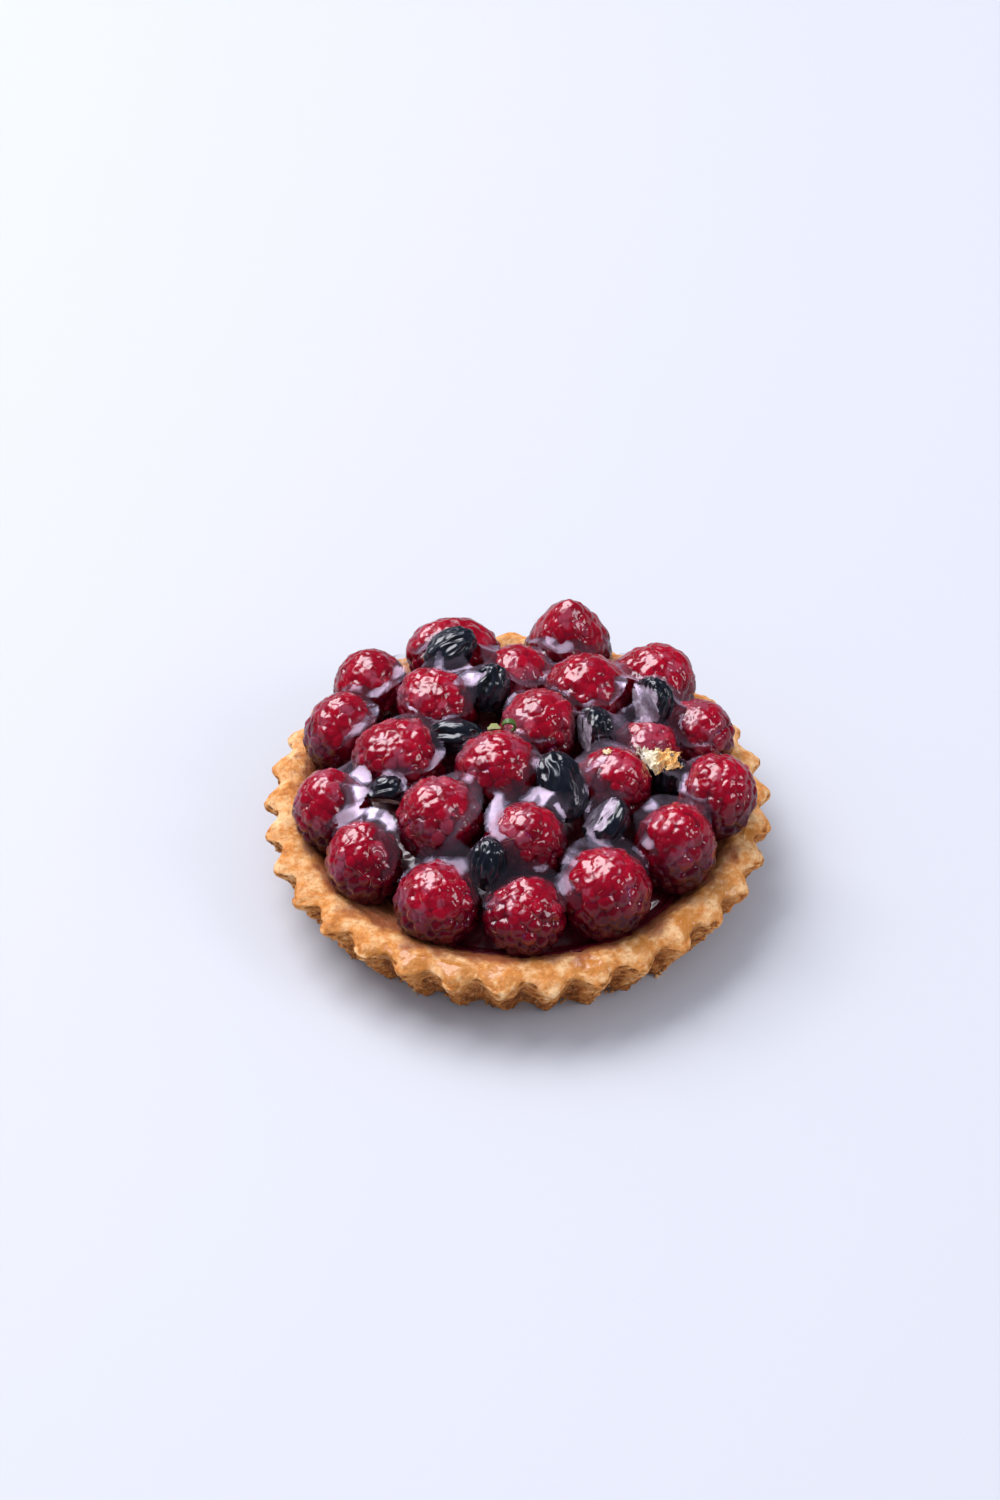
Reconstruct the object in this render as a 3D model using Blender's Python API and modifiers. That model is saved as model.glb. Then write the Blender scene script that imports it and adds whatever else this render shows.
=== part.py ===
"""Round berry tart: a fluted shortcrust shell filled with dark jam, heaped with raspberries and
halved dark berries, with a crumpled flake of gold leaf and a tiny herb sprig on top.

Lengths are in millimetres and bearings in degrees, counted anticlockwise from +X seen from above.
The origin is the centre of the underside, on the surface that the tart stands on.
"""
import math
from collections import namedtuple

import bmesh
import bpy
from mathutils import Matrix, Vector

MM = 0.001

# Crust
RIM_RADIUS = 52.5
RIM_DROOP = 1.0
BASE_RADIUS = 44.6
CRUST_HEIGHT = 16.0
RING_INNER_RADIUS = 44.5
RING_CROWN = 0.15
RECESS_DEPTH = 6.5
FLUTES = 33
FLUTE_DEPTH = 2.7
FLUTE_BASE_SHARE = 0.6
GROOVE_BEARING = 184.2
STEPS_PER_FLUTE = 6
FLUTE_UNEVENNESS = 0.35
RING_UNEVENNESS = 0.3
OVAL = 0.15
BACK_RISE = 0.9

# Jam, a low dome in the recess
JAM_EDGE_HEIGHT = 11.6
JAM_CROWN_HEIGHT = 23.0
JAM_STEPS = 36
JAM_RINGS = 4

# The heap of berries: height of a berry's centre over the table
HEAP_HEIGHT = 30.5
HEAP_DROP = 13.0
HEAP_RADIUS = 38.0
HEAP_SIDE_RISE = 3.3
HEAP_BACK_RISE = 3.7

# Clearance between pieces that rest on each other, and the air left above the crust
GAP = 0.32
CRUST_CLEARANCE = 0.5

# Mesh fineness of the berries, and how far every other point stands in or out as a drupelet
RASPBERRY_SEGMENTS = 16
RASPBERRY_ROWS = 11
DRUPELET_RELIEF = 0.035
DARK_SEGMENTS = 12
DARK_ROWS = 7
DARK_RIDGES = 6

Raspberry = namedtuple("Raspberry", "bearing ring lift wide tall lean toward point")
DarkBerry = namedtuple("DarkBerry", "bearing ring lift long wide thick tilt toward cut")

# The outer row stands on the shell's rim, then comes the second row, then the crown.
# lift is how far a berry stands above the heap's own curve, lean how far its tip leans over
# toward a bearing, and point how much its tip narrows.
OUTER_ROW = (
    Raspberry(-88, 35.8, 0.4, 16.6, 14.5, 14, -88, 0.06),
    Raspberry(-61, 35.2, 0.6, 18.6, 18.8, 20, -40, 0.10),
    Raspberry(-32, 36.8, 1.6, 17.0, 20.5, 10, -60, 0.14),
    Raspberry(-9, 40.3, 3.6, 17.4, 17.6, 25, -20, 0.12),
    Raspberry(19, 39.3, -0.6, 16.0, 15.5, 30, 10, 0.14),
    Raspberry(43, 39.2, -0.6, 18.6, 17.5, 35, 20, 0.16),
    Raspberry(74, 39.0, 0.6, 19.0, 21.0, 2, 74, 0.40),
    Raspberry(112, 35.6, -0.8, 17.4, 20.0, 75, 178, 0.10),
    Raspberry(139, 40.2, -0.9, 16.2, 16.5, 20, 120, 0.08),
    Raspberry(160, 38.4, -0.4, 16.0, 17.5, 10, 60, 0.16),
    Raspberry(-168, 38.4, -0.3, 16.5, 18.5, 12, 150, 0.14),
    Raspberry(-145, 37.5, -0.6, 15.8, 17.5, 16, 120, 0.10),
    Raspberry(-116, 36.2, 0.0, 17.4, 16.5, 10, -116, 0.08),
)
SECOND_ROW = (
    Raspberry(-86, 21.8, -1.6, 17.0, 18.0, 16, -70, 0.12),
    Raspberry(-21, 20.4, -0.8, 15.8, 15.8, 20, -40, 0.10),
    Raspberry(10, 26.2, -2.6, 15.2, 14.5, 20, 40, 0.10),
    Raspberry(53, 23.4, -0.8, 18.0, 16.5, 18, 30, 0.08),
    Raspberry(90, 23.8, -2.2, 15.8, 15.0, 20, 90, 0.10),
    Raspberry(137, 22.4, -1.3, 16.4, 17.6, 60, 150, 0.10),
    Raspberry(178, 23.6, -1.4, 17.4, 20.0, 75, 178, 0.12),
    Raspberry(-133, 22.8, 0.0, 17.6, 17.0, 14, -133, 0.06),
)
CROWN = (
    Raspberry(56, 8.0, -1.3, 16.6, 15.6, 22, 20, 0.10),
    Raspberry(-122, 7.6, -0.9, 17.6, 16.5, 15, -30, 0.08),
)

# Halved and whole dark berries in the hollows. long, wide and thick are their sizes, with the
# long side tilted up by tilt toward a bearing. cut is the bearing and rise of a cut face and how
# far it lies from the centre, or None for a whole berry.
DARK_BERRIES = (
    DarkBerry(119, 28.6, 7.0, 12.8, 9.6, 7.4, 25, 20, None),
    DarkBerry(110, 16.8, 2.4, 10.6, 9.4, 8.6, 50, 60, None),
    DarkBerry(163, 13.2, 0.0, 12.8, 7.4, 7.2, 4, -10, None),
    DarkBerry(-159, 27.9, 2.0, 8.8, 7.8, 8.2, 10, 20, (-100, -35, 1.6)),
    DarkBerry(-101, 29.8, 3.9, 11.8, 8.2, 8.0, 65, 90, None),
    DarkBerry(-54, 14.8, 2.0, 16.2, 10.6, 9.4, 35, 115, None),
    DarkBerry(18, 16.0, 1.2, 10.4, 9.6, 9.2, 60, 80, (-158, 8, 2.2)),
    DarkBerry(25, 29.6, 5.0, 11.6, 10.4, 9.6, 62, 60, (-140, 14, 1.4)),
    DarkBerry(-47, 25.0, 2.4, 11.6, 10.4, 9.6, 40, 50, (178, 48, 1.6)),
    DarkBerry(-5, 31.0, 0.8, 9.6, 8.2, 7.8, 60, 90, None),
)

# Gold leaf, a crumpled flake draped over the berries on the right
LEAF_CENTRE = (28.4, -2.8, 29.0)
SHEET_CLEARANCE = 0.45
LEAF_LENGTH = 9.6
LEAF_WIDTH = 7.2
LEAF_THICKNESS = 0.25
LEAF_WAVE = 0.45
LEAF_DROOP = 2.0
LEAF_CELLS = (7, 5)

# Herb sprig near the top of the heap: a green curl and a pale bract beside it
CURL_SPOT = (-2.0, 1.0)
CURL_RADIUS = 1.6
CURL_WIDTH = 1.3
CURL_THICKNESS = 0.4
CURL_SWEEP = 250
CURL_CELLS = 12
BRACT_CENTRE = (-4.8, 0.4, 34.0)
BRACT_LENGTH = 3.4
BRACT_WIDTH = 2.0
BRACT_THICKNESS = 0.5
BRACT_CELLS = (5, 2)


def clear_scene():
    for item in list(bpy.data.objects):
        bpy.data.objects.remove(item, do_unlink=True)


def make_collection(name):
    group = bpy.data.collections.new(name)
    bpy.context.scene.collection.children.link(group)
    return group


def make_material(name, colour, roughness, metallic=0.0):
    material = bpy.data.materials.new(name)
    material.use_nodes = True
    shader = material.node_tree.nodes["Principled BSDF"]
    shader.inputs["Base Color"].default_value = (*colour, 1.0)
    shader.inputs["Roughness"].default_value = roughness
    shader.inputs["Metallic"].default_value = metallic
    return material


def add_piece(name, mesh, material, group, smooth=True):
    """Put a mesh in the scene as one named piece, its points turned from millimetres to metres."""
    mesh.transform(Matrix.Scale(MM, 4))
    mesh.materials.clear()
    mesh.materials.append(material)
    if smooth:
        mesh.shade_smooth()
    piece = bpy.data.objects.new(name, mesh)
    group.objects.link(piece)
    return piece


def ring_point(bearing, radius, height=0.0):
    angle = math.radians(bearing)
    return Vector((radius * math.cos(angle), radius * math.sin(angle), height))


def smooth_step(value):
    value = min(1.0, max(0.0, value))
    return value * value * (3.0 - 2.0 * value)


def turned_mesh(name, profile, steps):
    """Turn a profile of (radius, height) points, from the axis at the top down the outer side."""
    mesh = bpy.data.meshes.new(name)
    points = [(radius, 0.0, height) for radius, height in profile]
    edges = [(i, i + 1) for i in range(len(points) - 1)]
    mesh.from_pydata(points, edges, [])
    shape = bpy.data.objects.new(name, mesh)
    bpy.context.scene.collection.objects.link(shape)
    screw = shape.modifiers.new("Turn", "SCREW")
    screw.axis = "Z"
    screw.steps = steps
    screw.render_steps = steps
    screw.use_merge_vertices = True
    screw.merge_threshold = 0.0001
    bpy.context.view_layer.update()
    turned = bpy.data.meshes.new_from_object(shape.evaluated_get(bpy.context.evaluated_depsgraph_get()))
    bpy.data.objects.remove(shape, do_unlink=True)
    bpy.data.meshes.remove(mesh)
    turned.name = name
    return turned


def crust_profile():
    slope_foot = CRUST_HEIGHT - RECESS_DEPTH
    ring_middle = (RING_INNER_RADIUS + RIM_RADIUS) / 2
    rim_height = CRUST_HEIGHT - RIM_DROOP
    foot_height = 0.8
    wall_height = rim_height / 2
    taper = (RIM_RADIUS - BASE_RADIUS) / (rim_height - foot_height)
    return (
        (0.0, slope_foot),
        (RING_INNER_RADIUS - RECESS_DEPTH, slope_foot),
        (RING_INNER_RADIUS, CRUST_HEIGHT - RING_CROWN),
        (ring_middle, CRUST_HEIGHT),
        (RIM_RADIUS - 1.1, CRUST_HEIGHT - 0.45),
        (RIM_RADIUS, rim_height),
        (BASE_RADIUS + taper * (wall_height - foot_height), wall_height),
        (BASE_RADIUS, foot_height),
        (BASE_RADIUS - 0.8, 0.0),
        (0.0, 0.0),
    )


def flute_groove(bearing):
    """0 on the tip of a flute and 1 at the bottom of the groove between two flutes."""
    return 0.5 + 0.5 * math.cos(math.radians(bearing - GROOVE_BEARING) * FLUTES)


def outline_wander(bearing):
    """Slow unevenness of a rim pressed in by hand."""
    angle = math.radians(bearing)
    return (0.5 * math.sin(2 * angle + 0.6) + 0.3 * math.sin(5 * angle + 2.1)
            + 0.35 * math.sin(9 * angle + 0.4))


def shape_crust_point(point):
    radius = math.hypot(point.x, point.y)
    if radius < RING_INNER_RADIUS - RECESS_DEPTH - 0.1:
        return point
    bearing = math.degrees(math.atan2(point.y, point.x))
    height = point.z
    on_top = height > CRUST_HEIGHT - 0.6
    if on_top:
        fluting = smooth_step((radius - RING_INNER_RADIUS - 1.0) / (RIM_RADIUS - RING_INNER_RADIUS - 2.5))
        wander = fluting
    elif radius < RING_INNER_RADIUS - 2.0 and height > 1.0:
        fluting = 0.0
        wander = 0.0
    else:
        up = height / CRUST_HEIGHT
        fluting = FLUTE_BASE_SHARE + (1.0 - FLUTE_BASE_SHARE) * up
        wander = up
    inset = FLUTE_DEPTH * fluting * flute_groove(bearing)
    angle = math.radians(bearing)
    shift = wander * (FLUTE_UNEVENNESS * (outline_wander(bearing) - 0.4) - OVAL * math.cos(2 * angle))
    scale = (radius - inset + shift) / radius
    if height > CRUST_HEIGHT - 2.0 and wander > 0.0:
        height += wander * BACK_RISE * max(0.0, math.sin(angle)) ** 2
    if on_top:
        height += RING_UNEVENNESS * (outline_wander(bearing + 40.0) - 1.0) * 0.5
    return Vector((point.x * scale, point.y * scale, height))


def make_crust(material, group):
    mesh = turned_mesh("crust", crust_profile(), FLUTES * STEPS_PER_FLUTE)
    for vertex in mesh.vertices:
        vertex.co = shape_crust_point(vertex.co)
    east = max(vertex.co.x for vertex in mesh.vertices)
    west = min(vertex.co.x for vertex in mesh.vertices)
    north = max(vertex.co.y for vertex in mesh.vertices)
    south = min(vertex.co.y for vertex in mesh.vertices)
    mesh.transform(Matrix.Translation((-(east + west) / 2, -(north + south) / 2, 0.0)))
    return add_piece("crust", mesh, material, group)


def jam_radius():
    return RING_INNER_RADIUS - (CRUST_HEIGHT - JAM_EDGE_HEIGHT) - 1.5 * GAP


def jam_height(radius):
    share = min(1.0, radius / jam_radius())
    return JAM_EDGE_HEIGHT + (JAM_CROWN_HEIGHT - JAM_EDGE_HEIGHT) * (1.0 - share * share)


def jam_normal(radius):
    """Outward and upward parts of the unit normal of the jam's dome."""
    slope = -2.0 * (JAM_CROWN_HEIGHT - JAM_EDGE_HEIGHT) * radius / jam_radius() ** 2
    length = math.hypot(1.0, slope)
    return -slope / length, 1.0 / length


def make_jam(material, group):
    edge = jam_radius()
    foot = CRUST_HEIGHT - RECESS_DEPTH + GAP
    profile = [(edge * i / JAM_RINGS, jam_height(edge * i / JAM_RINGS)) for i in range(JAM_RINGS + 1)]
    profile.append((edge - (JAM_EDGE_HEIGHT - foot), foot))
    profile.append((0.0, foot))
    return add_piece("jam", turned_mesh("jam", profile, JAM_STEPS), material, group)


def heap_height(bearing, radius):
    """Height of the centre of a berry that lies in the heap at this place."""
    share = (radius / HEAP_RADIUS) ** 2
    rise = HEAP_SIDE_RISE + HEAP_BACK_RISE * math.sin(math.radians(bearing))
    return HEAP_HEIGHT - (HEAP_DROP - rise) * share


def tilted_axes(tilt, toward):
    """Axes whose Z is the vertical tilted over toward a bearing."""
    turn = Matrix.Rotation(math.radians(toward), 3, "Z")
    return turn @ Matrix.Rotation(math.radians(tilt), 3, "Y")


class Fruit:
    """A berry: its centre, its own axes and half sizes, and the faces that its neighbours press."""

    def __init__(self, name, berry, half_sizes, axes):
        self.name = name
        self.berry = berry
        self.half_sizes = Vector(half_sizes)
        self.axes = axes
        height = heap_height(berry.bearing, berry.ring) + berry.lift
        self.centre = ring_point(berry.bearing, berry.ring, height)
        self.faces = []

    def reach(self, direction):
        """How far the berry stretches from its centre along a direction."""
        return math.sqrt(sum((self.half_sizes[k] * direction.dot(self.axes.col[k])) ** 2 for k in range(3)))

    def press(self, direction, distance):
        self.faces.append((direction, distance))

    def inside(self, arm):
        """The largest share of an arm from the centre that stays clear of all that presses the berry."""
        share = 1.0
        for direction, distance in self.faces:
            along = direction.dot(arm)
            if along * share > distance:
                share = distance / along
        if clears_crust(self.centre + arm * share):
            return share
        low, high = 0.0, share
        for _ in range(24):
            middle = (low + high) / 2
            if clears_crust(self.centre + arm * middle):
                low = middle
            else:
                high = middle
        return low

    def top(self, x, y):
        """Height of the berry's uppermost skin over a spot, or 0 beside it."""
        flat = Vector((x - self.centre.x, y - self.centre.y, 0.0))
        rise = Vector((0.0, 0.0, 1.0))
        level = [flat.dot(self.axes.col[k]) / self.half_sizes[k] for k in range(3)]
        climb = [rise.dot(self.axes.col[k]) / self.half_sizes[k] for k in range(3)]
        a = sum(c * c for c in climb)
        b = sum(c * f for c, f in zip(climb, level))
        c = sum(f * f for f in level) - 1.0
        if b * b < a * c:
            return 0.0
        return self.centre.z + (-b + math.sqrt(b * b - a * c)) / a


def clears_crust(point):
    """True inside the cone that opens upward from the slope of the crust's recess."""
    cone_radius = RING_INNER_RADIUS - CRUST_CLEARANCE + (point.z - CRUST_HEIGHT)
    return math.hypot(point.x, point.y) <= cone_radius


def press_apart(fruits):
    """Share out the room between neighbours, so that soft berries flatten where they meet."""
    for i, first in enumerate(fruits):
        for second in fruits[i + 1:]:
            span = second.centre - first.centre
            distance = span.length
            direction = span / distance
            first_reach = first.reach(direction)
            second_reach = second.reach(direction)
            excess = first_reach + second_reach + GAP - distance
            if excess < -3.0:
                continue
            share = first_reach / (first_reach + second_reach)
            first.press(direction, first_reach - excess * share)
            second.press(-direction, second_reach - excess * (1.0 - share))


def rest_on_jam(fruit):
    """Flatten a berry's underside along the jam where it lies nearest."""
    radius = math.hypot(fruit.centre.x, fruit.centre.y)
    outward = Vector((fruit.centre.x, fruit.centre.y, 0.0)) / max(radius, 0.001)
    edge = jam_radius()
    nearest = min((edge * i / 60 for i in range(61)),
                  key=lambda r: (r - radius) ** 2 + (jam_height(r) - fruit.centre.z) ** 2)
    out, up = jam_normal(nearest)
    normal = outward * out + Vector((0.0, 0.0, up))
    spot = outward * nearest + Vector((0.0, 0.0, jam_height(nearest)))
    fruit.press(-normal, normal.dot(fruit.centre - spot) - GAP)


def raspberry_arm(fruit, unit):
    """A point of a raspberry's skin from its centre: narrower to the tip, and knobbly."""
    column = round(math.atan2(unit.y, unit.x) / (2 * math.pi / RASPBERRY_SEGMENTS))
    row = round(math.acos(max(-1.0, min(1.0, unit.z))) / (math.pi / RASPBERRY_ROWS))
    knob = DRUPELET_RELIEF if (column + row) % 2 == 0 else -DRUPELET_RELIEF
    knob *= 1.0 - unit.z ** 4
    narrowing = 1.0 - fruit.berry.point * (unit.z + 0.25)
    own = Vector((unit.x * narrowing, unit.y * narrowing, unit.z)) * (1.0 + knob)
    return fruit.axes @ Vector(own[k] * fruit.half_sizes[k] for k in range(3))


def dark_arm(fruit, unit):
    """A point of a dark berry's skin from its centre: long ridges that run out at its two ends."""
    turn = math.atan2(unit.y, unit.x)
    ridge = 0.05 * math.cos(DARK_RIDGES * turn) * (1.0 - unit.z * unit.z)
    own = unit * (0.95 + ridge)
    return fruit.axes @ Vector(own[k] * fruit.half_sizes[k] for k in range(3))


def fruit_mesh(fruit, segments, rows, arm):
    shape = bmesh.new()
    bmesh.ops.create_uvsphere(shape, u_segments=segments, v_segments=rows, radius=1.0)
    for vertex in shape.verts:
        reach = arm(fruit, vertex.co.normalized())
        vertex.co = fruit.centre + reach * fruit.inside(reach)
    bmesh.ops.triangulate(shape, faces=shape.faces)
    mesh = bpy.data.meshes.new(fruit.name)
    shape.to_mesh(mesh)
    shape.free()
    return mesh


def lay_fruit():
    """Place every berry in the heap and let neighbours, jam and crust press it."""
    raspberries = []
    for number, berry in enumerate(OUTER_ROW + SECOND_ROW + CROWN, start=1):
        half = (berry.wide / 2, berry.wide / 2, berry.tall / 2)
        axes = tilted_axes(berry.lean, berry.toward)
        raspberries.append(Fruit(f"raspberry_{number:02d}", berry, half, axes))
    dark = []
    for number, berry in enumerate(DARK_BERRIES, start=1):
        half = (berry.thick / 2, berry.wide / 2, berry.long / 2)
        axes = tilted_axes(90.0 - berry.tilt, berry.toward)
        dark.append(Fruit(f"dark_berry_{number:02d}", berry, half, axes))
    press_apart(raspberries + dark)
    for fruit in raspberries + dark:
        rest_on_jam(fruit)
    for fruit in dark:
        if fruit.berry.cut:
            bearing, rise, distance = fruit.berry.cut
            level = math.cos(math.radians(rise))
            face = ring_point(bearing, level, math.sin(math.radians(rise)))
            fruit.press(face, distance)
    return raspberries, dark


def drape(surface, fruits, thickness):
    """Lift the low points of a sheet onto the berries under it."""
    def draped(u, v):
        point = surface(u, v)
        support = max(fruit.top(point.x, point.y) for fruit in fruits)
        point.z = max(point.z, support + SHEET_CLEARANCE + thickness / 2)
        return point
    return draped


def sheet_mesh(name, cells, surface, thickness):
    """A thin closed sheet: surface gives the middle point for two shares from 0 to 1."""
    columns, rows = cells
    shape = bmesh.new()
    grid = [[shape.verts.new(surface(i / columns, j / rows)) for i in range(columns + 1)]
            for j in range(rows + 1)]
    for j in range(rows):
        for i in range(columns):
            corner = (grid[j][i], grid[j][i + 1], grid[j + 1][i + 1], grid[j + 1][i])
            shape.faces.new((corner[0], corner[1], corner[2]))
            shape.faces.new((corner[0], corner[2], corner[3]))
    sheet = bpy.data.meshes.new(name)
    shape.to_mesh(sheet)
    shape.free()
    carrier = bpy.data.objects.new(name, sheet)
    bpy.context.scene.collection.objects.link(carrier)
    solid = carrier.modifiers.new("Thickness", "SOLIDIFY")
    solid.thickness = thickness
    solid.offset = 0.0
    bpy.context.view_layer.update()
    mesh = bpy.data.meshes.new_from_object(carrier.evaluated_get(bpy.context.evaluated_depsgraph_get()))
    bpy.data.objects.remove(carrier, do_unlink=True)
    bpy.data.meshes.remove(sheet)
    mesh.name = name
    return mesh


def leaf_surface(u, v):
    """A ragged flake that hangs down at its left end."""
    ragged = 1.0 - 0.22 * abs(math.sin(7.3 * u + 1.0)) - 0.4 * u
    x = (u - 0.5) * LEAF_LENGTH
    y = (v - 0.5) * LEAF_WIDTH * ragged
    wave = LEAF_WAVE * math.sin(9.0 * u + 4.0 * v) * math.cos(7.0 * v)
    droop = LEAF_DROOP * (1.0 - u) ** 2 * (1.0 - v)
    return Vector(LEAF_CENTRE) + Vector((x, y, wave - droop + 0.5 * y))


def curl_surface(u, v):
    """A narrow green strip rolled round like a hook."""
    angle = math.radians(CURL_SWEEP * (u - 0.25))
    radius = CURL_RADIUS * (1.0 - 0.35 * u)
    taper = 1.0 - 0.6 * abs(2.0 * u - 1.0) ** 2
    side = (v - 0.5) * CURL_WIDTH * taper
    return Vector((*CURL_SPOT, 0.0)) + Vector((radius * math.cos(angle), side, radius * math.sin(angle)))


def bract_surface(u, v):
    """A pale pointed scale that leans beside the curl."""
    along = (u - 0.5) * BRACT_LENGTH
    half_width = BRACT_WIDTH * (0.18 + math.sin(math.pi * (0.12 + 0.8 * u)) * 0.5)
    across = (v - 0.5) * 2.0 * half_width
    bow = 0.35 * math.sin(math.pi * u)
    return Vector(BRACT_CENTRE) + Vector((across, along * 0.55 - bow, along * 0.8))


def build_tart():
    clear_scene()
    group = make_collection("berry_tart")
    crust = make_material("shortcrust", (0.72, 0.46, 0.20), 0.75)
    jam = make_material("dark_jam", (0.12, 0.005, 0.012), 0.2)
    red = make_material("raspberry_red", (0.42, 0.012, 0.03), 0.25)
    dark = make_material("dark_skin", (0.01, 0.014, 0.028), 0.25)
    gold = make_material("gold_leaf", (0.95, 0.68, 0.30), 0.3, 1.0)
    green = make_material("herb_green", (0.12, 0.32, 0.03), 0.5)
    pale = make_material("pale_bract", (0.60, 0.66, 0.30), 0.5)

    make_crust(crust, group)
    make_jam(jam, group)
    raspberries, dark_berries = lay_fruit()
    for fruit in raspberries:
        mesh = fruit_mesh(fruit, RASPBERRY_SEGMENTS, RASPBERRY_ROWS, raspberry_arm)
        add_piece(fruit.name, mesh, red, group)
    for fruit in dark_berries:
        mesh = fruit_mesh(fruit, DARK_SEGMENTS, DARK_ROWS, dark_arm)
        add_piece(fruit.name, mesh, dark, group)
    fruits = raspberries + dark_berries
    leaf = drape(leaf_surface, fruits, LEAF_THICKNESS)
    add_piece("gold_leaf", sheet_mesh("gold_leaf", LEAF_CELLS, leaf, LEAF_THICKNESS), gold, group, smooth=False)
    bract = drape(bract_surface, fruits, BRACT_THICKNESS)
    add_piece("herb_bract", sheet_mesh("herb_bract", BRACT_CELLS, bract, BRACT_THICKNESS), pale, group)
    curl = sheet_mesh("herb_curl", (CURL_CELLS, 2), curl_surface, CURL_THICKNESS)
    lift = max(fruit.top(v.co.x, v.co.y) - v.co.z for fruit in fruits for v in curl.vertices)
    curl.transform(Matrix.Translation((0.0, 0.0, lift + SHEET_CLEARANCE)))
    add_piece("herb_curl", curl, green, group)


build_tart()
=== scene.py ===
"""Looks of the berry tart: a crumbly fluted crust, dark wet jam, glazed raspberries and dark
berries, a clear glaze that bridges the hollows between them, gold leaf and a herb sprig.

Shapes are worked out in millimetres and put in the scene in metres. The tart stands on z = 0.
"""

import math

import bmesh
import bpy
import numpy as np
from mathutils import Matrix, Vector
from mathutils.bvhtree import BVHTree


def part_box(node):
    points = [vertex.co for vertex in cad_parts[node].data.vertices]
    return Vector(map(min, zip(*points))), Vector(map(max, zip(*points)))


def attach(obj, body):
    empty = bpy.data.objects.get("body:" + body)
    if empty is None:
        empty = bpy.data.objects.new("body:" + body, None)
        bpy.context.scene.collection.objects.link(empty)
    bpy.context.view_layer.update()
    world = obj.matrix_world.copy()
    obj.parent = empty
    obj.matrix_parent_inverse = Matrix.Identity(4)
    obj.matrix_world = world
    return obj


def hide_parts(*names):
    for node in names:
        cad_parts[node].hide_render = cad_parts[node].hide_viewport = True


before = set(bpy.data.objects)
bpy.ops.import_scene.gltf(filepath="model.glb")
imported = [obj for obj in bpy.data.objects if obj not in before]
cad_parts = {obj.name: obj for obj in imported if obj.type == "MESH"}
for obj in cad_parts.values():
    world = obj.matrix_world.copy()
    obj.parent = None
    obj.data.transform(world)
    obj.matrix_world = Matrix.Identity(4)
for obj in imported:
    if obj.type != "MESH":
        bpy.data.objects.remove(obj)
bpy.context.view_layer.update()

MM = 0.001
GOLDEN_TURN = math.pi * (3.0 - math.sqrt(5.0))
RAY_START = 80.0

# Camera at the photograph's place, in metres and degrees
CAMERA_SPOT = (-0.003618, -0.47167, 0.483654)
CAMERA_TILT = 90.0 - 43.931
CAMERA_LENS = 78.036
SENSOR_WIDTH = 36.0
NEAREST_SEEN = 0.01

# The room's light on matt surfaces, and as glossy ones mirror it
SKY_COLOUR = (0.80, 0.86, 1.0)
SKY_LIGHT = 0.72
SKY_SHINE = 0.06

# The window, and the pale surround that only glossy skins mirror: its half width and height against
# its distance, its brightness, and how far to the window's side the sky must lie
WINDOW_SPOT = (-0.72, 0.66, 1.38)
WINDOW_SIZE = (1.35, 1.15)
WINDOW_POWER = 33.0
WINDOW_COLOUR = (1.0, 0.95, 0.98)
WINDOW_SPREAD = (0.62, 0.52)
WINDOW_SHINE = 2.6
WINDOW_SIDE = 0.2

# A weak second light from the right
FILL_SPOT = (0.75, -0.25, 0.60)
FILL_SIZE = (0.35, 0.35)
FILL_POWER = 2.0
FILL_COLOUR = (0.95, 0.93, 1.0)

# Floor
FLOOR_HALF_WIDTH = 3.0
FLOOR_COLOURS = ((0.535, 0.555, 0.595), (0.555, 0.575, 0.61))
FLOOR_IN_SHINE = (0.05, 0.05, 0.06)
FLOOR_DIMMING = 0.65

# Crust, as in the part
RIM_RADIUS = 52.5
RIM_DROOP = 1.0
BASE_RADIUS = 44.6
FOOT_HEIGHT = 0.8
CRUST_HEIGHT = 16.0
RING_INNER_RADIUS = 44.5
RING_CROWN = 0.15
RECESS_DEPTH = 6.5
RECESS_FLOOR = 9.5
FLUTES = 33
FLUTE_DEPTH = 3.0
FLUTE_BASE_SHARE = 0.72
GROOVE_BEARING = 184.2
FLUTE_UNEVENNESS = 0.35
RING_UNEVENNESS = 0.3
OVAL = 0.15
BACK_RISE = 0.9
RIDGE_DROOP = 1.3

# Net of the crust: columns for each flute, and how far apart the rows of its shown side are
FLUTE_STEPS = 26
WALL_STEP = 0.36

# Bearings in degrees: the jam's fullest edge, and the bare crust at the left front
JAM_FRONT = 282.0
DRY_BEARING = 230.0

# Raspberries, and the width of a drupelet on most of them and on those that differ
RASPBERRIES = [f"raspberry_{number:02d}" for number in range(1, 24)]
BALL_LEVEL = 6
CELL_SIZE = 3.05
CELL_SIZES = {"raspberry_12": 2.7, "raspberry_13": 2.85, "raspberry_10": 2.8, "raspberry_02": 3.2,
              "raspberry_03": 3.3, "raspberry_23": 3.4, "raspberry_21": 2.9, "raspberry_04": 2.8}

# Dark berries, the bearing and rise in degrees of each cut face, and the one with tan flesh
DARK_BERRIES = [f"dark_berry_{number:02d}" for number in range(1, 11)]
CUT_FACES = {"dark_berry_04": (-100.0, -35.0), "dark_berry_07": (-158.0, 8.0),
             "dark_berry_08": (-140.0, 14.0), "dark_berry_09": (178.0, 48.0)}
TAN_BERRY = "dark_berry_04"


# Noise

# Large odd numbers that scramble a lattice corner into a repeatable random number
CORNER_KEYS = (73856093, 19349663, 83492791)
SEED_KEY = 49979687
SCRAMBLE_KEYS = (1274126177, 2246822519)
LOW_32_BITS = 0xFFFFFFFF
LOW_16_BITS = 0xFFFF

# How lumps are brought to about -1 to 1, and how each finer layer fades
LUMP_GAIN = 1.6
LAYER_FADE = 1.7


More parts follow.
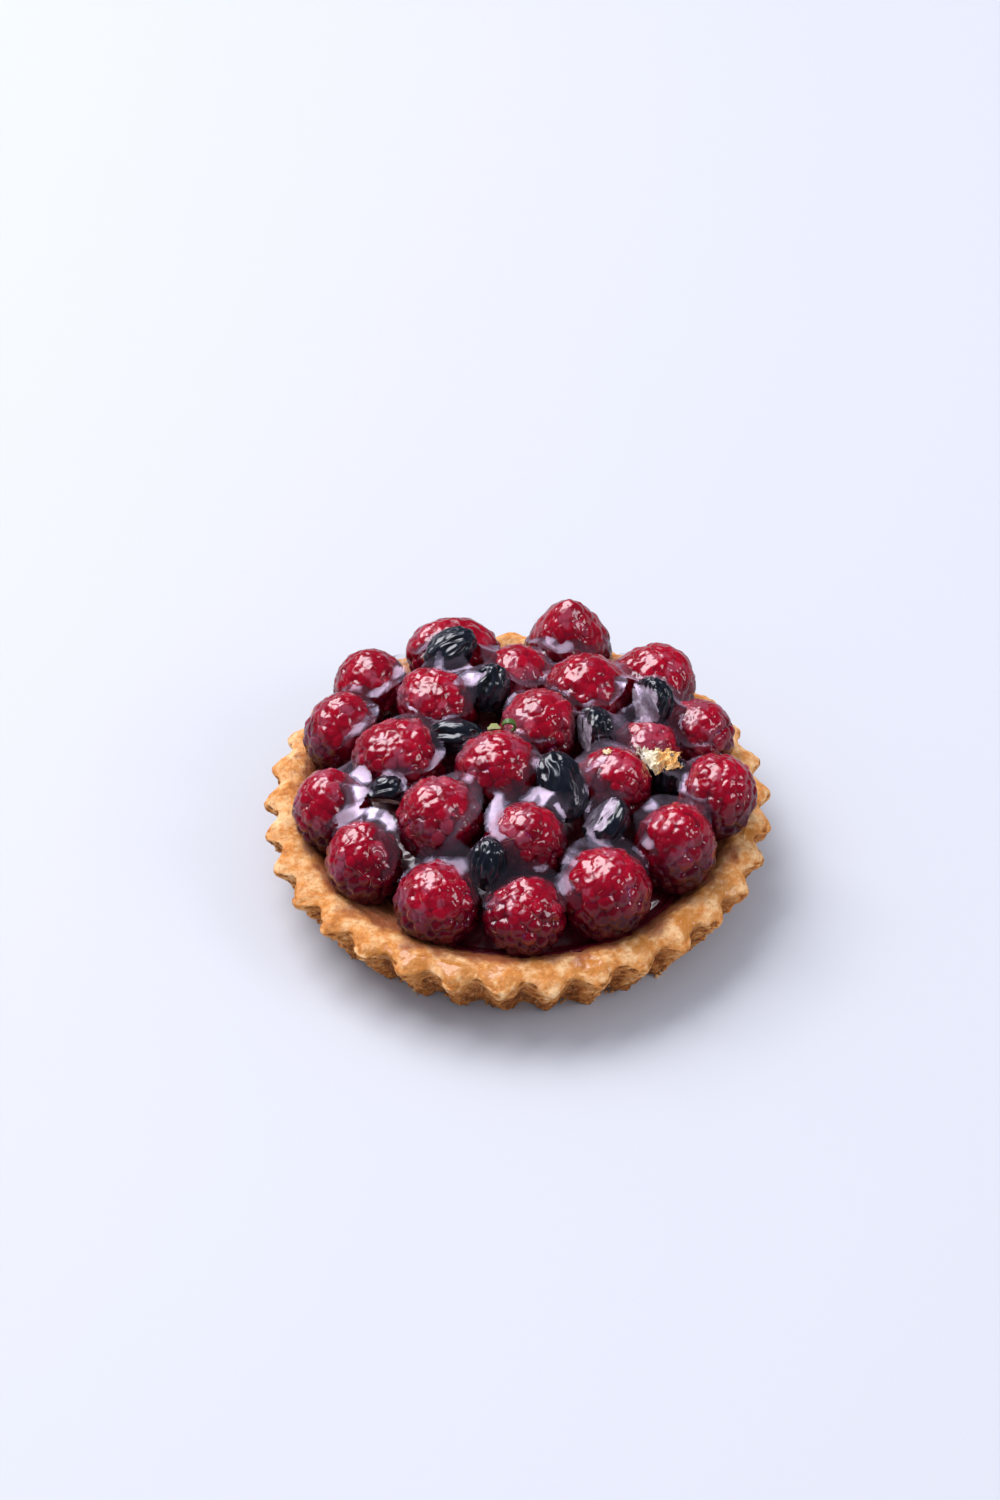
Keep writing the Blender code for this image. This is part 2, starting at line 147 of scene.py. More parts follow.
def lattice_random(corner, seed):
    """A repeatable random number from -1 to 1 for each whole-numbered corner."""
    mixed = corner[:, 0] * CORNER_KEYS[0] ^ corner[:, 1] * CORNER_KEYS[1] ^ corner[:, 2] * CORNER_KEYS[2]
    mixed = ((mixed ^ (seed * SEED_KEY)) & LOW_32_BITS) * SCRAMBLE_KEYS[0]
    mixed = (mixed ^ (mixed >> 15)) & LOW_32_BITS
    mixed = mixed * SCRAMBLE_KEYS[1]
    mixed = (mixed ^ (mixed >> 13)) & LOW_16_BITS
    return mixed / (LOW_16_BITS / 2.0) - 1.0


def lumps(points, size, seed=0):
    """Smooth lumps from about -1 to 1, each about one size wide."""
    spot = points / size
    corner = np.floor(spot).astype(np.int64)
    share = spot - corner
    # This curve runs from 0 to 1 and is level and straight at both ends
    ease = share * share * share * (share * (share * 6.0 - 15.0) + 10.0)
    total = np.zeros(len(points))
    for dx in (0, 1):
        for dy in (0, 1):
            for dz in (0, 1):
                step = np.array((dx, dy, dz))
                here = corner + step
                away = share - step
                slope = sum(away[:, k] * lattice_random(here, seed * 3 + k) for k in range(3))
                weight = np.prod(np.where(step == 1, ease, 1.0 - ease), axis=1)
                total += weight * slope
    return total * LUMP_GAIN


def rough_lumps(points, size, seed=0, layers=3):
    """Lumps with smaller lumps on them."""
    return sum(lumps(points, size / 2 ** k, seed + k) / LAYER_FADE ** k for k in range(layers))


def ridges(values):
    """Sharp ridges, up to 1, where the values pass through 0."""
    return 1.0 - 2.0 * np.abs(values)


def smooth_step(value, low=0.0, high=1.0):
    """0 up to low, 1 from high, and a smooth slope between them."""
    share = np.clip((value - low) / (high - low), 0.0, 1.0)
    return share * share * (3.0 - 2.0 * share)


# Meshes

# Share of its own value that a point keeps in each round of blurring
OWN_SHARE = 0.4


def put_in_scene(name, points, faces, material, marks=None):
    """One piece from points in millimetres. marks are named values for each point."""
    mesh = bpy.data.meshes.new(name)
    mesh.from_pydata((points * MM).tolist(), [], faces.tolist())
    for mark, values in (marks or {}).items():
        layer = mesh.attributes.new(mark, "FLOAT", "POINT")
        layer.data.foreach_set("value", values.astype(np.float32))
    mesh.materials.append(material)
    mesh.shade_smooth()
    mesh.update()
    piece = bpy.data.objects.new(name, mesh)
    bpy.context.scene.collection.objects.link(piece)
    return piece


def dress(piece, slot, *nodes):
    """The piece is hung under the root and stands for the CAD nodes that are named, which are hidden. The
    slot is not used.
    """
    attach(piece, "root")
    if nodes:
        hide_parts(*nodes)


def ball_net(level):
    """Directions and triangles of an even ball, and its edges."""
    shape = bmesh.new()
    bmesh.ops.create_icosphere(shape, subdivisions=level, radius=1.0)
    points = np.array([vertex.co for vertex in shape.verts])
    faces = np.array([[vertex.index for vertex in face.verts] for face in shape.faces])
    edges = np.array([[vertex.index for vertex in edge.verts] for edge in shape.edges])
    shape.free()
    return points / np.linalg.norm(points, axis=1)[:, None], faces, edges


def blurred(values, edges, rounds):
    """Each point's value drawn toward the mean of its neighbours."""
    count = len(values)
    ends = np.bincount(edges[:, 0], minlength=count) + np.bincount(edges[:, 1], minlength=count)
    for _ in range(rounds):
        around = np.bincount(edges[:, 0], values[edges[:, 1]], count)
        around += np.bincount(edges[:, 1], values[edges[:, 0]], count)
        values = OWN_SHARE * values + (1.0 - OWN_SHARE) * around / ends
    return values


def node_points(name):
    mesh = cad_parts[name].data
    return np.array([vertex.co for vertex in mesh.vertices]) / MM


def node_tree(name):
    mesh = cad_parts[name].data
    faces = [tuple(face.vertices) for face in mesh.polygons]
    return BVHTree.FromPolygons([Vector(point) for point in node_points(name)], faces)


def node_reach(name, directions):
    """Centre of a CAD node, and how far its skin lies from there along each direction."""
    points = node_points(name)
    centre = (points.min(axis=0) + points.max(axis=0)) / 2.0
    tree = node_tree(name)
    start = Vector(centre)
    reach = np.zeros(len(directions))
    for number, direction in enumerate(directions):
        hit = tree.ray_cast(start, Vector(direction))
        reach[number] = hit[3] or 1.0
    return centre, reach


def height_under(tree, x, y, missing):
    """Height of the skin under a place, or the missing value where there is none."""
    hit = tree.ray_cast(Vector((x, y, RAY_START)), Vector((0.0, 0.0, -1.0)))
    return hit[0].z if hit[0] else missing


def ring_net(rows, columns):
    """Triangles of a net of rings whose last column joins the first, rows running outward and down."""
    row, column = np.meshgrid(np.arange(rows - 1), np.arange(columns), indexing="ij")
    a = (row * columns + column).ravel()
    b = (row * columns + (column + 1) % columns).ravel()
    c = ((row + 1) * columns + column).ravel()
    d = ((row + 1) * columns + (column + 1) % columns).ravel()
    return np.concatenate((np.stack((a, c, b), axis=1), np.stack((b, c, d), axis=1)))


def ring_angles(rows, columns):
    return np.tile(np.arange(columns) * 2 * math.pi / columns, rows)


def ring_points(radius, angle, height):
    return np.stack((radius * np.cos(angle), radius * np.sin(angle), height), axis=1)


def net_normals(points, faces):
    corner = points[faces]
    flat = np.cross(corner[:, 1] - corner[:, 0], corner[:, 2] - corner[:, 0])
    normals = np.zeros_like(points)
    for k in range(3):
        np.add.at(normals, faces[:, k], flat)
    return normals / np.maximum(np.linalg.norm(normals, axis=1), 1e-9)[:, None]


def degrees_from(angle, bearing):
    """How far each angle lies from a bearing in degrees, the short way round."""
    return np.abs((np.degrees(angle) - bearing + 180.0) % 360.0 - 180.0)


def cell_corners(net):
    """The four corners of each cell of a square net, going round the cell."""
    return net[:-1, :-1], net[1:, :-1], net[1:, 1:], net[:-1, 1:]


def whole_cells(keep):
    """Cells of a square net whose four corners are all kept."""
    a, b, c, d = cell_corners(keep)
    return a & b & c & d


def without_islands(whole, least):
    """The cells of a net that are left when patches of fewer cells than least are dropped."""
    label = np.where(whole, np.arange(1, whole.size + 1).reshape(whole.shape), 0)
    settled = False
    while not settled:
        spread = label
        for step, axis in ((1, 0), (-1, 0), (1, 1), (-1, 1)):
            spread = np.maximum(spread, np.roll(label, step, axis))
        spread = np.where(whole, spread, 0)
        settled = (spread == label).all()
        label = spread
    return whole & (np.bincount(label.ravel())[label] >= least)


def net_faces(whole):
    """The net points that the cells in whole use, and two triangles for each such cell."""
    rows, columns = whole.shape
    index = np.arange((rows + 1) * (columns + 1)).reshape(rows + 1, columns + 1)
    a, b, c, d = (corner[whole] for corner in cell_corners(index))
    faces = np.concatenate((np.stack((a, b, c), axis=1), np.stack((a, c, d), axis=1)))
    used, faces = np.unique(faces, return_inverse=True)
    return used, faces.reshape(-1, 3)


# Materials

# Baked crust, by how brown it is painted, browning and painted shade together, and the colours that lie
# over it
CRUST_TONES = ((0.0, (0.95, 0.59, 0.29)), (0.35, (0.74, 0.29, 0.068)),
               (0.7, (0.40, 0.107, 0.017)), (1.0, (0.22, 0.065, 0.015)))
BLOTCH_TAN = (0.60, 0.20, 0.045)
PATCH_TAN = (0.58, 0.21, 0.05)
FLOUR_STRAW = (0.98, 0.68, 0.34)
FRECKLE_BROWN = (0.52, 0.19, 0.045)
PORE_BROWN = (0.42, 0.14, 0.03)
GLAZED_AMBER = (0.58, 0.20, 0.02)
JUICE_STAIN = (0.26, 0.05, 0.025)

# Raspberry skin painted dark in shade and bright in light, then painted shade, a glaze veil with painted
# sheen, and painted highlights along the creases
DEEP_CRIMSON = (0.10, 0.0003, 0.007)
BRIGHT_CRIMSON = (0.44, 0.0014, 0.019)
PAINTED_SHADE_RED = (0.024, 0.0003, 0.004)
PAINTED_CREASE_SHADE = (0.03, 0.0008, 0.008)
GLAZE_VEIL_AND_SHEEN = (0.62, 0.34, 0.52)
PAINTED_CREASE_GLINT = (0.60, 0.10, 0.52)

# Dark berries: painted shade in the hollows and the paler fold tops of the skin, its bloom, and cut flesh
# by its grain
PAINTED_HOLLOW_SHADE = (0.0015, 0.002, 0.004)
FOLD_BLUE = (0.008, 0.011, 0.020)
BLOOM_BLUE = (0.025, 0.034, 0.055)
FLESH_TONES = ((0.35, (0.26, 0.18, 0.25)), (0.5, (0.52, 0.43, 0.52)), (0.7, (0.80, 0.74, 0.82)))
FLESH_TAN = (0.42, 0.20, 0.12)

# Jam, glaze, gold leaf and the sprig: two colours that the grain mixes, or tones by a mark
JAM_REDS = ((0.085, 0.0015, 0.007), (0.24, 0.012, 0.022))
GLAZE_LILACS = ((0.64, 0.50, 0.70), (0.86, 0.72, 0.90))
GOLD_TONES = ((0.0, (1.0, 0.93, 0.78)), (0.4, (1.0, 0.82, 0.50)),
              (0.7, (0.95, 0.52, 0.14)), (1.0, (0.38, 0.13, 0.03)))
THIN_GOLD = (0.85, 0.45, 0.12)
CURL_GREENS = ((0.06, 0.13, 0.02), (0.012, 0.045, 0.006))
BRACT_GREENS = ((0.46, 0.50, 0.22), (0.22, 0.28, 0.08))
HAIR_TONES = ((0.55, 0.24, 0.16), (0.80, 0.55, 0.38))


def new_material(name):
    material = bpy.data.materials.new(name)
    material.use_nodes = True
    return material, material.node_tree, material.node_tree.nodes["Principled BSDF"]


def add(tree, kind, **settings):
    """A shader node with its settings; a key that ends in _in sets an unlinked input."""
    node = tree.nodes.new(kind)
    for key, value in settings.items():
        if key.endswith("_in"):
            node.inputs[key[:-3]].default_value = value
        else:
            setattr(node, key, value)
    return node


def link(tree, source, target):
    tree.links.new(source, target)


def settle(shader, **values):
    """Sets numbers that are the same all over the finish; an underscore stands for a space."""
    for name, value in values.items():
        shader.inputs[name.replace("_", " ")].default_value = value


def mark_value(tree, name):
    return add(tree, "ShaderNodeAttribute", attribute_name=name).outputs["Fac"]


def maths(tree, operation, first, second=None, third=None, clamp=False):
    node = add(tree, "ShaderNodeMath", operation=operation, use_clamp=clamp)
    for socket, value in zip(node.inputs, (first, second, third)):
        if value is None:
            continue
        if isinstance(value, (int, float)):
            socket.default_value = value
        else:
            link(tree, value, socket)
    return node.outputs[0]


def between(tree, factor, first, second):
    """A colour between two colours, each a tuple or the output of a node."""
    node = add(tree, "ShaderNodeMix", data_type="RGBA")
    # A mix of colours takes its factor at input 0 and its colours at 6 and 7
    sockets = {0: factor, 6: first, 7: second}
    for index, value in sockets.items():
        if isinstance(value, tuple):
            node.inputs[index].default_value = (*value, 1.0)
        else:
            link(tree, value, node.inputs[index])
    return node.outputs[2]


def tinged(tree, colour, mask, strength, tinge):
    """The colour drawn toward the tinge by the mask times the strength."""
    return between(tree, maths(tree, "MULTIPLY", mask, strength), colour, tinge)


def ramp(tree, factor, *stops):
    """A grey value or colour from stops of (place, value)."""
    node = add(tree, "ShaderNodeValToRGB")
    marks = node.color_ramp.elements
    while len(marks) < len(stops):
        marks.new(0.5)
    for mark, (place, value) in zip(marks, stops):
        mark.position = place
        mark.color = (*value, 1.0) if isinstance(value, tuple) else (value, value, value, 1.0)
    link(tree, factor, node.inputs["Fac"])
    return node.outputs["Color"]


def make_speckle_group():
    """Grain for any finish: a mask of specks and a height for bumps. Fineness is grains in a metre."""
    group = bpy.data.node_groups.new("speckle_grain", "ShaderNodeTree")
    for name in ("Fineness", "Amount"):
        group.interface.new_socket(name, in_out="INPUT", socket_type="NodeSocketFloat")
    for name in ("Mask", "Height"):
        group.interface.new_socket(name, in_out="OUTPUT", socket_type="NodeSocketFloat")
    inside = add(group, "NodeGroupInput")
    outside = add(group, "NodeGroupOutput")
    place = add(group, "ShaderNodeTexCoord")
    grain = add(group, "ShaderNodeTexNoise", Detail_in=5.0, Roughness_in=0.65)
    link(group, place.outputs["Object"], grain.inputs["Vector"])
    link(group, inside.outputs["Fineness"], grain.inputs["Scale"])
    # Grain above this level, a little over its middle, makes a speck
    mask = maths(group, "SUBTRACT", grain.outputs["Fac"], 0.55)
    mask = maths(group, "MULTIPLY", mask, inside.outputs["Amount"], clamp=True)
    link(group, mask, outside.inputs["Mask"])
    link(group, grain.outputs["Fac"], outside.inputs["Height"])
    return group


def speckle(tree, group, fineness, amount=1.0):
    node = add(tree, "ShaderNodeGroup", node_tree=group, Fineness_in=fineness, Amount_in=amount)
    return node.outputs["Mask"], node.outputs["Height"]


def bumped(tree, shader, height, distance, strength):
    """Relief of the finish: distance in metres, strength from 0 to 1."""
    bump = add(tree, "ShaderNodeBump", Strength_in=strength, Distance_in=distance)
    link(tree, height, bump.inputs["Height"])
    link(tree, bump.outputs["Normal"], shader.inputs["Normal"])


def make_crust_material(group):
    """Baked shortcrust: straw and tan, browned freckles, pits and groove bottoms darkened as browning and
    painted shade, wet where the glaze ran over.
    """
    material, tree, shader = new_material("baked_shortcrust")
    wet = mark_value(tree, "wet")
    blotches, _ = speckle(tree, group, fineness=190.0, amount=8.0)
    patches, _ = speckle(tree, group, fineness=420.0, amount=9.0)
    flour, _ = speckle(tree, group, fineness=1900.0, amount=8.0)
    freckles, grain = speckle(tree, group, fineness=1300.0, amount=9.0)
    _, pores = speckle(tree, group, fineness=850.0)
    # The toast ramp also carries painted shade in grooves and pits and a painted highlight on the ridge
    # tips
    colour = ramp(tree, mark_value(tree, "toast"), *CRUST_TONES)
    colour = tinged(tree, colour, blotches, 0.55, BLOTCH_TAN)
    colour = tinged(tree, colour, patches, 0.7, PATCH_TAN)
    colour = tinged(tree, colour, flour, 0.5, FLOUR_STRAW)
    colour = tinged(tree, colour, freckles, 0.6, FRECKLE_BROWN)
    colour = between(tree, ramp(tree, pores, (0.61, 0.0), (0.68, 0.5)), colour, PORE_BROWN)
    colour = tinged(tree, colour, wet, 0.75, GLAZED_AMBER)
    colour = between(tree, mark_value(tree, "stain"), colour, JUICE_STAIN)
    link(tree, colour, shader.inputs["Base Color"])
    link(tree, maths(tree, "SUBTRACT", 0.85, maths(tree, "MULTIPLY", wet, 0.5)), shader.inputs["Roughness"])
    link(tree, maths(tree, "MULTIPLY", wet, 0.7), shader.inputs["Coat Weight"])
    settle(shader, Coat_Roughness=0.08, Specular_IOR_Level=0.3)
    bumped(tree, shader, grain, distance=0.0005, strength=1.0)
    return material


def make_raspberry_material(group):
    """Glassy crimson drupelets under a clear glaze, with shade painted purple-black in the creases."""
    material, tree, shader = new_material("glazed_raspberry")
    shade = mark_value(tree, "shade")
    _, grain = speckle(tree, group, fineness=900.0)
    # The tint is painted brighter on the upper side as light, besides each drupelet's own tone
    colour = between(tree, mark_value(tree, "tint"), DEEP_CRIMSON, BRIGHT_CRIMSON)
    # Painted shade darkens the lower side of the berry
    colour = between(tree, shade, colour, PAINTED_SHADE_RED)
    # Painted shade in the creases, less where glaze fills them on the upper side
    colour = tinged(tree, colour, mark_value(tree, "crease_shade"), 0.8, PAINTED_CREASE_SHADE)
    # A lilac veil, partly the glaze's own film and partly painted window sheen
    colour = between(tree, mark_value(tree, "veil_and_sheen"), colour, GLAZE_VEIL_AND_SHEEN)
    # Painted lilac highlights along the creases, where the glaze's edge would shine
    colour = between(tree, mark_value(tree, "crease_glint"), colour, PAINTED_CREASE_GLINT)
    link(tree, colour, shader.inputs["Base Color"])
    # The coat is thinned where shade is painted, so the shaded lower side mirrors less
    link(tree, maths(tree, "MULTIPLY_ADD", shade, -0.5, 1.0), shader.inputs["Coat Weight"])
    settle(shader, Roughness=0.12, Specular_IOR_Level=0.1, Coat_Roughness=0.03, Coat_IOR=1.6)
    settle(shader, Subsurface_Weight=0.2, Subsurface_Radius=(1.0, 0.05, 0.08), Subsurface_Scale=0.0016)
    bumped(tree, shader, grain, distance=0.00025, strength=0.8)
    return material


def make_dark_skin_material(group):
    """Blue-black wrinkled skin with shade painted in its hollows and a bloom, and wet flesh, lilac or tan,
    where the berry is cut.
    """
    material, tree, shader = new_material("wrinkled_dark_skin")
    bloom, grain = speckle(tree, group, fineness=700.0, amount=4.0)
    # Painted shade: the skin is darker in the hollows between folds than on their tops
    colour = between(tree, mark_value(tree, "fold"), PAINTED_HOLLOW_SHADE, FOLD_BLUE)
    colour = tinged(tree, colour, bloom, 0.1, BLOOM_BLUE)
    inside = between(tree, mark_value(tree, "tan"), ramp(tree, grain, *FLESH_TONES), FLESH_TAN)
    colour = between(tree, mark_value(tree, "flesh"), colour, inside)
    link(tree, colour, shader.inputs["Base Color"])
    settle(shader, Roughness=0.32, Specular_IOR_Level=0.15, Coat_Weight=1.0, Coat_Roughness=0.04)
    bumped(tree, shader, grain, distance=0.00012, strength=0.5)
    return material


def make_jam_material(group):
    material, tree, shader = new_material("dark_berry_jam")
    specks, grain = speckle(tree, group, fineness=1100.0, amount=6.0)
    link(tree, between(tree, specks, *JAM_REDS), shader.inputs["Base Color"])
    settle(shader, Roughness=0.3, Coat_Weight=1.0, Coat_Roughness=0.07)
    bumped(tree, shader, grain, distance=0.0004, strength=0.6)
    return material


def make_glaze_material(group):
    """Clear jelly: see-through, with a lilac haze where it is thick and a bright wet skin."""
    material, tree, shader = new_material("clear_glaze")
    _, grain = speckle(tree, group, fineness=420.0)
    link(tree, between(tree, grain, *GLAZE_LILACS), shader.inputs["Base Color"])
    settle(shader, Roughness=0.07, Metallic=0.7)
    shine = add(tree, "ShaderNodeFresnel", IOR_in=1.5)
    skin = maths(tree, "MULTIPLY", shine.outputs["Fac"], mark_value(tree, "body"))
    cover = maths(tree, "MULTIPLY_ADD", skin, 1.6, mark_value(tree, "haze"), clamp=True)
    clear = add(tree, "ShaderNodeBsdfTransparent")
    mix = add(tree, "ShaderNodeMixShader")
    link(tree, cover, mix.inputs["Fac"])
    link(tree, clear.outputs["BSDF"], mix.inputs[1])
    link(tree, shader.outputs["BSDF"], mix.inputs[2])
    link(tree, mix.outputs["Shader"], tree.nodes["Material Output"].inputs["Surface"])
    bumped(tree, shader, grain, distance=0.00016, strength=0.45)
    return material


def make_gold_material(group):
    material, tree, shader = new_material("crumpled_gold_leaf")
    thin, grain = speckle(tree, group, fineness=1500.0, amount=5.0)
    colour = ramp(tree, mark_value(tree, "tint"), *GOLD_TONES)
    link(tree, tinged(tree, colour, thin, 0.5, THIN_GOLD), shader.inputs["Base Color"])
    settle(shader, Metallic=0.55, Roughness=0.3)
    bumped(tree, shader, grain, distance=0.0006, strength=1.0)
    return material


def make_herb_material(name, group, pale, deep):
    material, tree, shader = new_material(name)
    veins, grain = speckle(tree, group, fineness=1300.0, amount=4.0)
    link(tree, tinged(tree, pale, veins, 0.8, deep), shader.inputs["Base Color"])
    settle(shader, Roughness=0.4, Subsurface_Weight=0.1, Subsurface_Scale=0.0005)
    bumped(tree, shader, grain, distance=0.0001, strength=0.6)
    return material


def make_hair_material(group):
    material, tree, shader = new_material("golden_berry_hair")
    tips, _ = speckle(tree, group, fineness=900.0, amount=3.0)
    link(tree, between(tree, tips, *HAIR_TONES), shader.inputs["Base Color"])
    settle(shader, Roughness=0.35)
    return material


# Crust

# The recess under the jam and the flat underside, as rows of (radius, height)
RECESS_ROWS = ((20.0, RECESS_FLOOR), (30.0, RECESS_FLOOR), (RING_INNER_RADIUS - RECESS_DEPTH, RECESS_FLOOR))
UNDERSIDE_ROWS = ((BASE_RADIUS - 2.0, 0.0), (34.0, 0.0), (22.0, 0.0), (10.0, 0.0), (0.3, 0.0))

# The shown side, from the slope by the jam over the rim and down the wall to the foot
SHOWN_CORNERS = ((RING_INNER_RADIUS - 4.6, CRUST_HEIGHT - 4.0),
                 (RING_INNER_RADIUS - 3.2, CRUST_HEIGHT - 2.5),
                 (RING_INNER_RADIUS - 1.2, CRUST_HEIGHT - RING_CROWN - 0.75),
                 (RING_INNER_RADIUS + 0.5, CRUST_HEIGHT - RING_CROWN + 0.05),
                 ((RING_INNER_RADIUS + RIM_RADIUS) / 2, CRUST_HEIGHT),
                 (RIM_RADIUS - 1.5, CRUST_HEIGHT - 0.3),
                 (RIM_RADIUS - 0.5, CRUST_HEIGHT - 0.75),
                 (RIM_RADIUS, CRUST_HEIGHT - RIM_DROOP - 0.4),
                 (RIM_RADIUS - 0.35, CRUST_HEIGHT - RIM_DROOP - 1.6),
                 (BASE_RADIUS, FOOT_HEIGHT),
                 (BASE_RADIUS - 0.8, 0.0))

# Slow waves of the rim's outline: strength, waves in a turn, and where they start
OUTLINE_WAVES = ((0.5, 2, 0.6), (0.3, 5, 2.1), (0.35, 9, 0.4))
OUTLINE_MEAN = 0.4

# Where the crust counts as its top, and where the flutes begin and are full on it
TOP_BAND = 0.7
FLUTES_ON_TOP = (RING_INNER_RADIUS + 1.0, RIM_RADIUS - 1.0)
RIDGE_WIDTH = 2.2

# Where the crust is inside the recess, on its top side, rising at the back, drooping and on the ring
RECESS_EDGE = RING_INNER_RADIUS - 0.4
UNDERSIDE_TOP = 1.0
TOP_SIDE_HEIGHT = 6.0
RISING_BAND = (CRUST_HEIGHT - 4.0, CRUST_HEIGHT - 1.0)
DROOPING_BAND = (10.0, 14.0)
RING_BAND = (CRUST_HEIGHT - 2.5, CRUST_HEIGHT - 0.5)
RING_START = RING_INNER_RADIUS - 2.0
RING_WAVE_TURN = 40.0

# The bare slope at the left front: its steepness, where it starts, its edges in degrees, greatest lift
SHELF_START = (32.0, 35.0)
SHELF_SLOPE = 0.42
SHELF_TOP = 0.9
SHELF_RADIUS = RING_INNER_RADIUS - 1.2
SHELF_DEGREES = (-22.0, -10.0)
SHELF_LIFT = 3.0

# Puddles of glaze on the crust: x, y and reach
GLAZE_ON_CRUST = ((-26.5, -41.5, 3.2), (-20.0, -44.5, 3.4), (-12.0, -46.8, 4.0), (-4.5, -47.5, 3.6),
                  (14.0, -46.5, 4.2), (33.5, -33.5, 3.6), (40.5, -25.5, 3.2), (-38.0, 27.0, 3.0),
                  (24.5, -41.5, 2.8), (46.5, -10.5, 2.4), (48.0, -1.5, 2.0), (33.0, -36.5, 2.6))

# How far glaze and juice creep over the ring, how raggedly, how they fade out, and how strongly they show
WET_BAND = (CRUST_HEIGHT - 6.0, CRUST_HEIGHT - 4.5)
WET_REACH = 0.5
WET_RAGGED = 1.1
WET_FADE = (-0.5, 1.5)
WET_STRENGTH = 0.6
STAIN_REACH = 0.8
STAIN_RAGGED = 2.6
STAIN_FADE = (-1.6, 1.8)
STAIN_STRENGTH = 0.75
PUDDLE_SIZE = 0.75
PUDDLE_RAGGED = 0.7
PUDDLE_FADE = (-0.3, 0.9)

# The layers of the baked wall lie flat, so its lumps are this much wider than they are high
LAYER_SQUEEZE = 2.6

# Relief of the crust, each as lump size and height: fine grain, slow swell and the wall's crumb.
# Pits have a size, an edge and depths on ring and wall, and the whole skin is drawn in a little.
GRAIN_RELIEF = (1.5, 0.11)
SWELL_RELIEF = (5.0, 0.17)
CRUMB_RELIEF = (2.8, 0.72)
PIT_SIZE = 1.9
PIT_EDGE = (0.06, 0.38)
PIT_DEPTHS = (0.07, 0.85)

# The share of crumb right under the rim, and of pits and of brown and painted shade on the ridges between
# grooves
RIM_CRUMB = 0.12
RIM_FADE = (2.5 - CRUST_HEIGHT, 6.0 - CRUST_HEIGHT)
RIDGE_PITS = 0.4
RIDGE_SHADE_AND_TOAST = 0.45

# Where the wall, the shown side and the paler tips of the ridges begin
WALL_START = (BASE_RADIUS - 3.0, BASE_RADIUS - 1.0)
WALL_TOP = (1.0 - CRUST_HEIGHT, 2.5 - CRUST_HEIGHT)
SHOWN_START = (RING_INNER_RADIUS - 8.0, RING_INNER_RADIUS - 2.0)
# Where the wall, the shown side and the ridge tips painted paler as a highlight begin
RIDGE_HIGHLIGHT_BAND = (RIM_RADIUS - 3.5, RIM_RADIUS - 1.0)
SKIN_SHRINK = 0.12

# How brown the crust is painted: everywhere, low in the grooves and in pits as browning and painted shade,
# by lumps large, layered and small, and paler on the ridge tips as a painted highlight
TOAST_LEVEL = 0.22
SHADE_AND_TOAST_LOW = 0.86
SHADE_AND_TOAST_PITS = 1.05
TOAST_LUMPS = ((4.0, 0.26), (1.3, 0.34), (1.6, 0.20))
RIDGE_HIGHLIGHT = 0.06

# Crumbs at the foot: how many, their size, place, form and how brown they are
CRUMBS = 64
CRUMB_SEED = 71
CRUMB_SIZE = (0.2, 0.6)
CRUMB_PLACE = (-0.3, 0.5)
CRUMB_STRETCH = (0.6, 1.2)
CRUMB_ROUGHNESS = 0.25
CRUMB_SINK = 0.55
CRUMB_TOAST = (0.25, 0.4)


def crust_outline_wander(angle):
    return sum(strength * np.sin(waves * angle + start) for strength, waves, start in OUTLINE_WAVES)


def rounded_profile(corners, step):
    """Points along a line through the corners, one step apart, with the corners eased."""
    corners = np.array(corners, dtype=float)
    lengths = np.linalg.norm(np.diff(corners, axis=0), axis=1)
    along = np.concatenate(([0.0], np.cumsum(lengths)))
    places = np.arange(0.0, along[-1], step)
    line = np.stack([np.interp(places, along, corners[:, k]) for k in range(2)], axis=1)
    line[1:-1] = 0.5 * line[1:-1] + 0.25 * (line[:-2] + line[2:])
    return line


def crust_profile():
    """Rows of (radius, height) from the recess over the rim and down the wall to the underside."""
    shown = rounded_profile(SHOWN_CORNERS, WALL_STEP)
    return np.concatenate((np.array(RECESS_ROWS), shown, np.array(UNDERSIDE_ROWS)))


def bare_shelf_lift(radius, height, angle):
    """How much the slope by the jam is raised at the left front, where bare crust shows."""
    gentle = CRUST_HEIGHT - SHELF_TOP - SHELF_SLOPE * (SHELF_RADIUS - radius)
    shelf = smooth_step(-degrees_from(angle, DRY_BEARING), *SHELF_DEGREES)
    shelf = shelf * smooth_step(radius, *SHELF_START) * (height > TOP_SIDE_HEIGHT)
    return shelf * np.clip(gentle - height, 0.0, SHELF_LIFT) * (radius < SHELF_RADIUS)


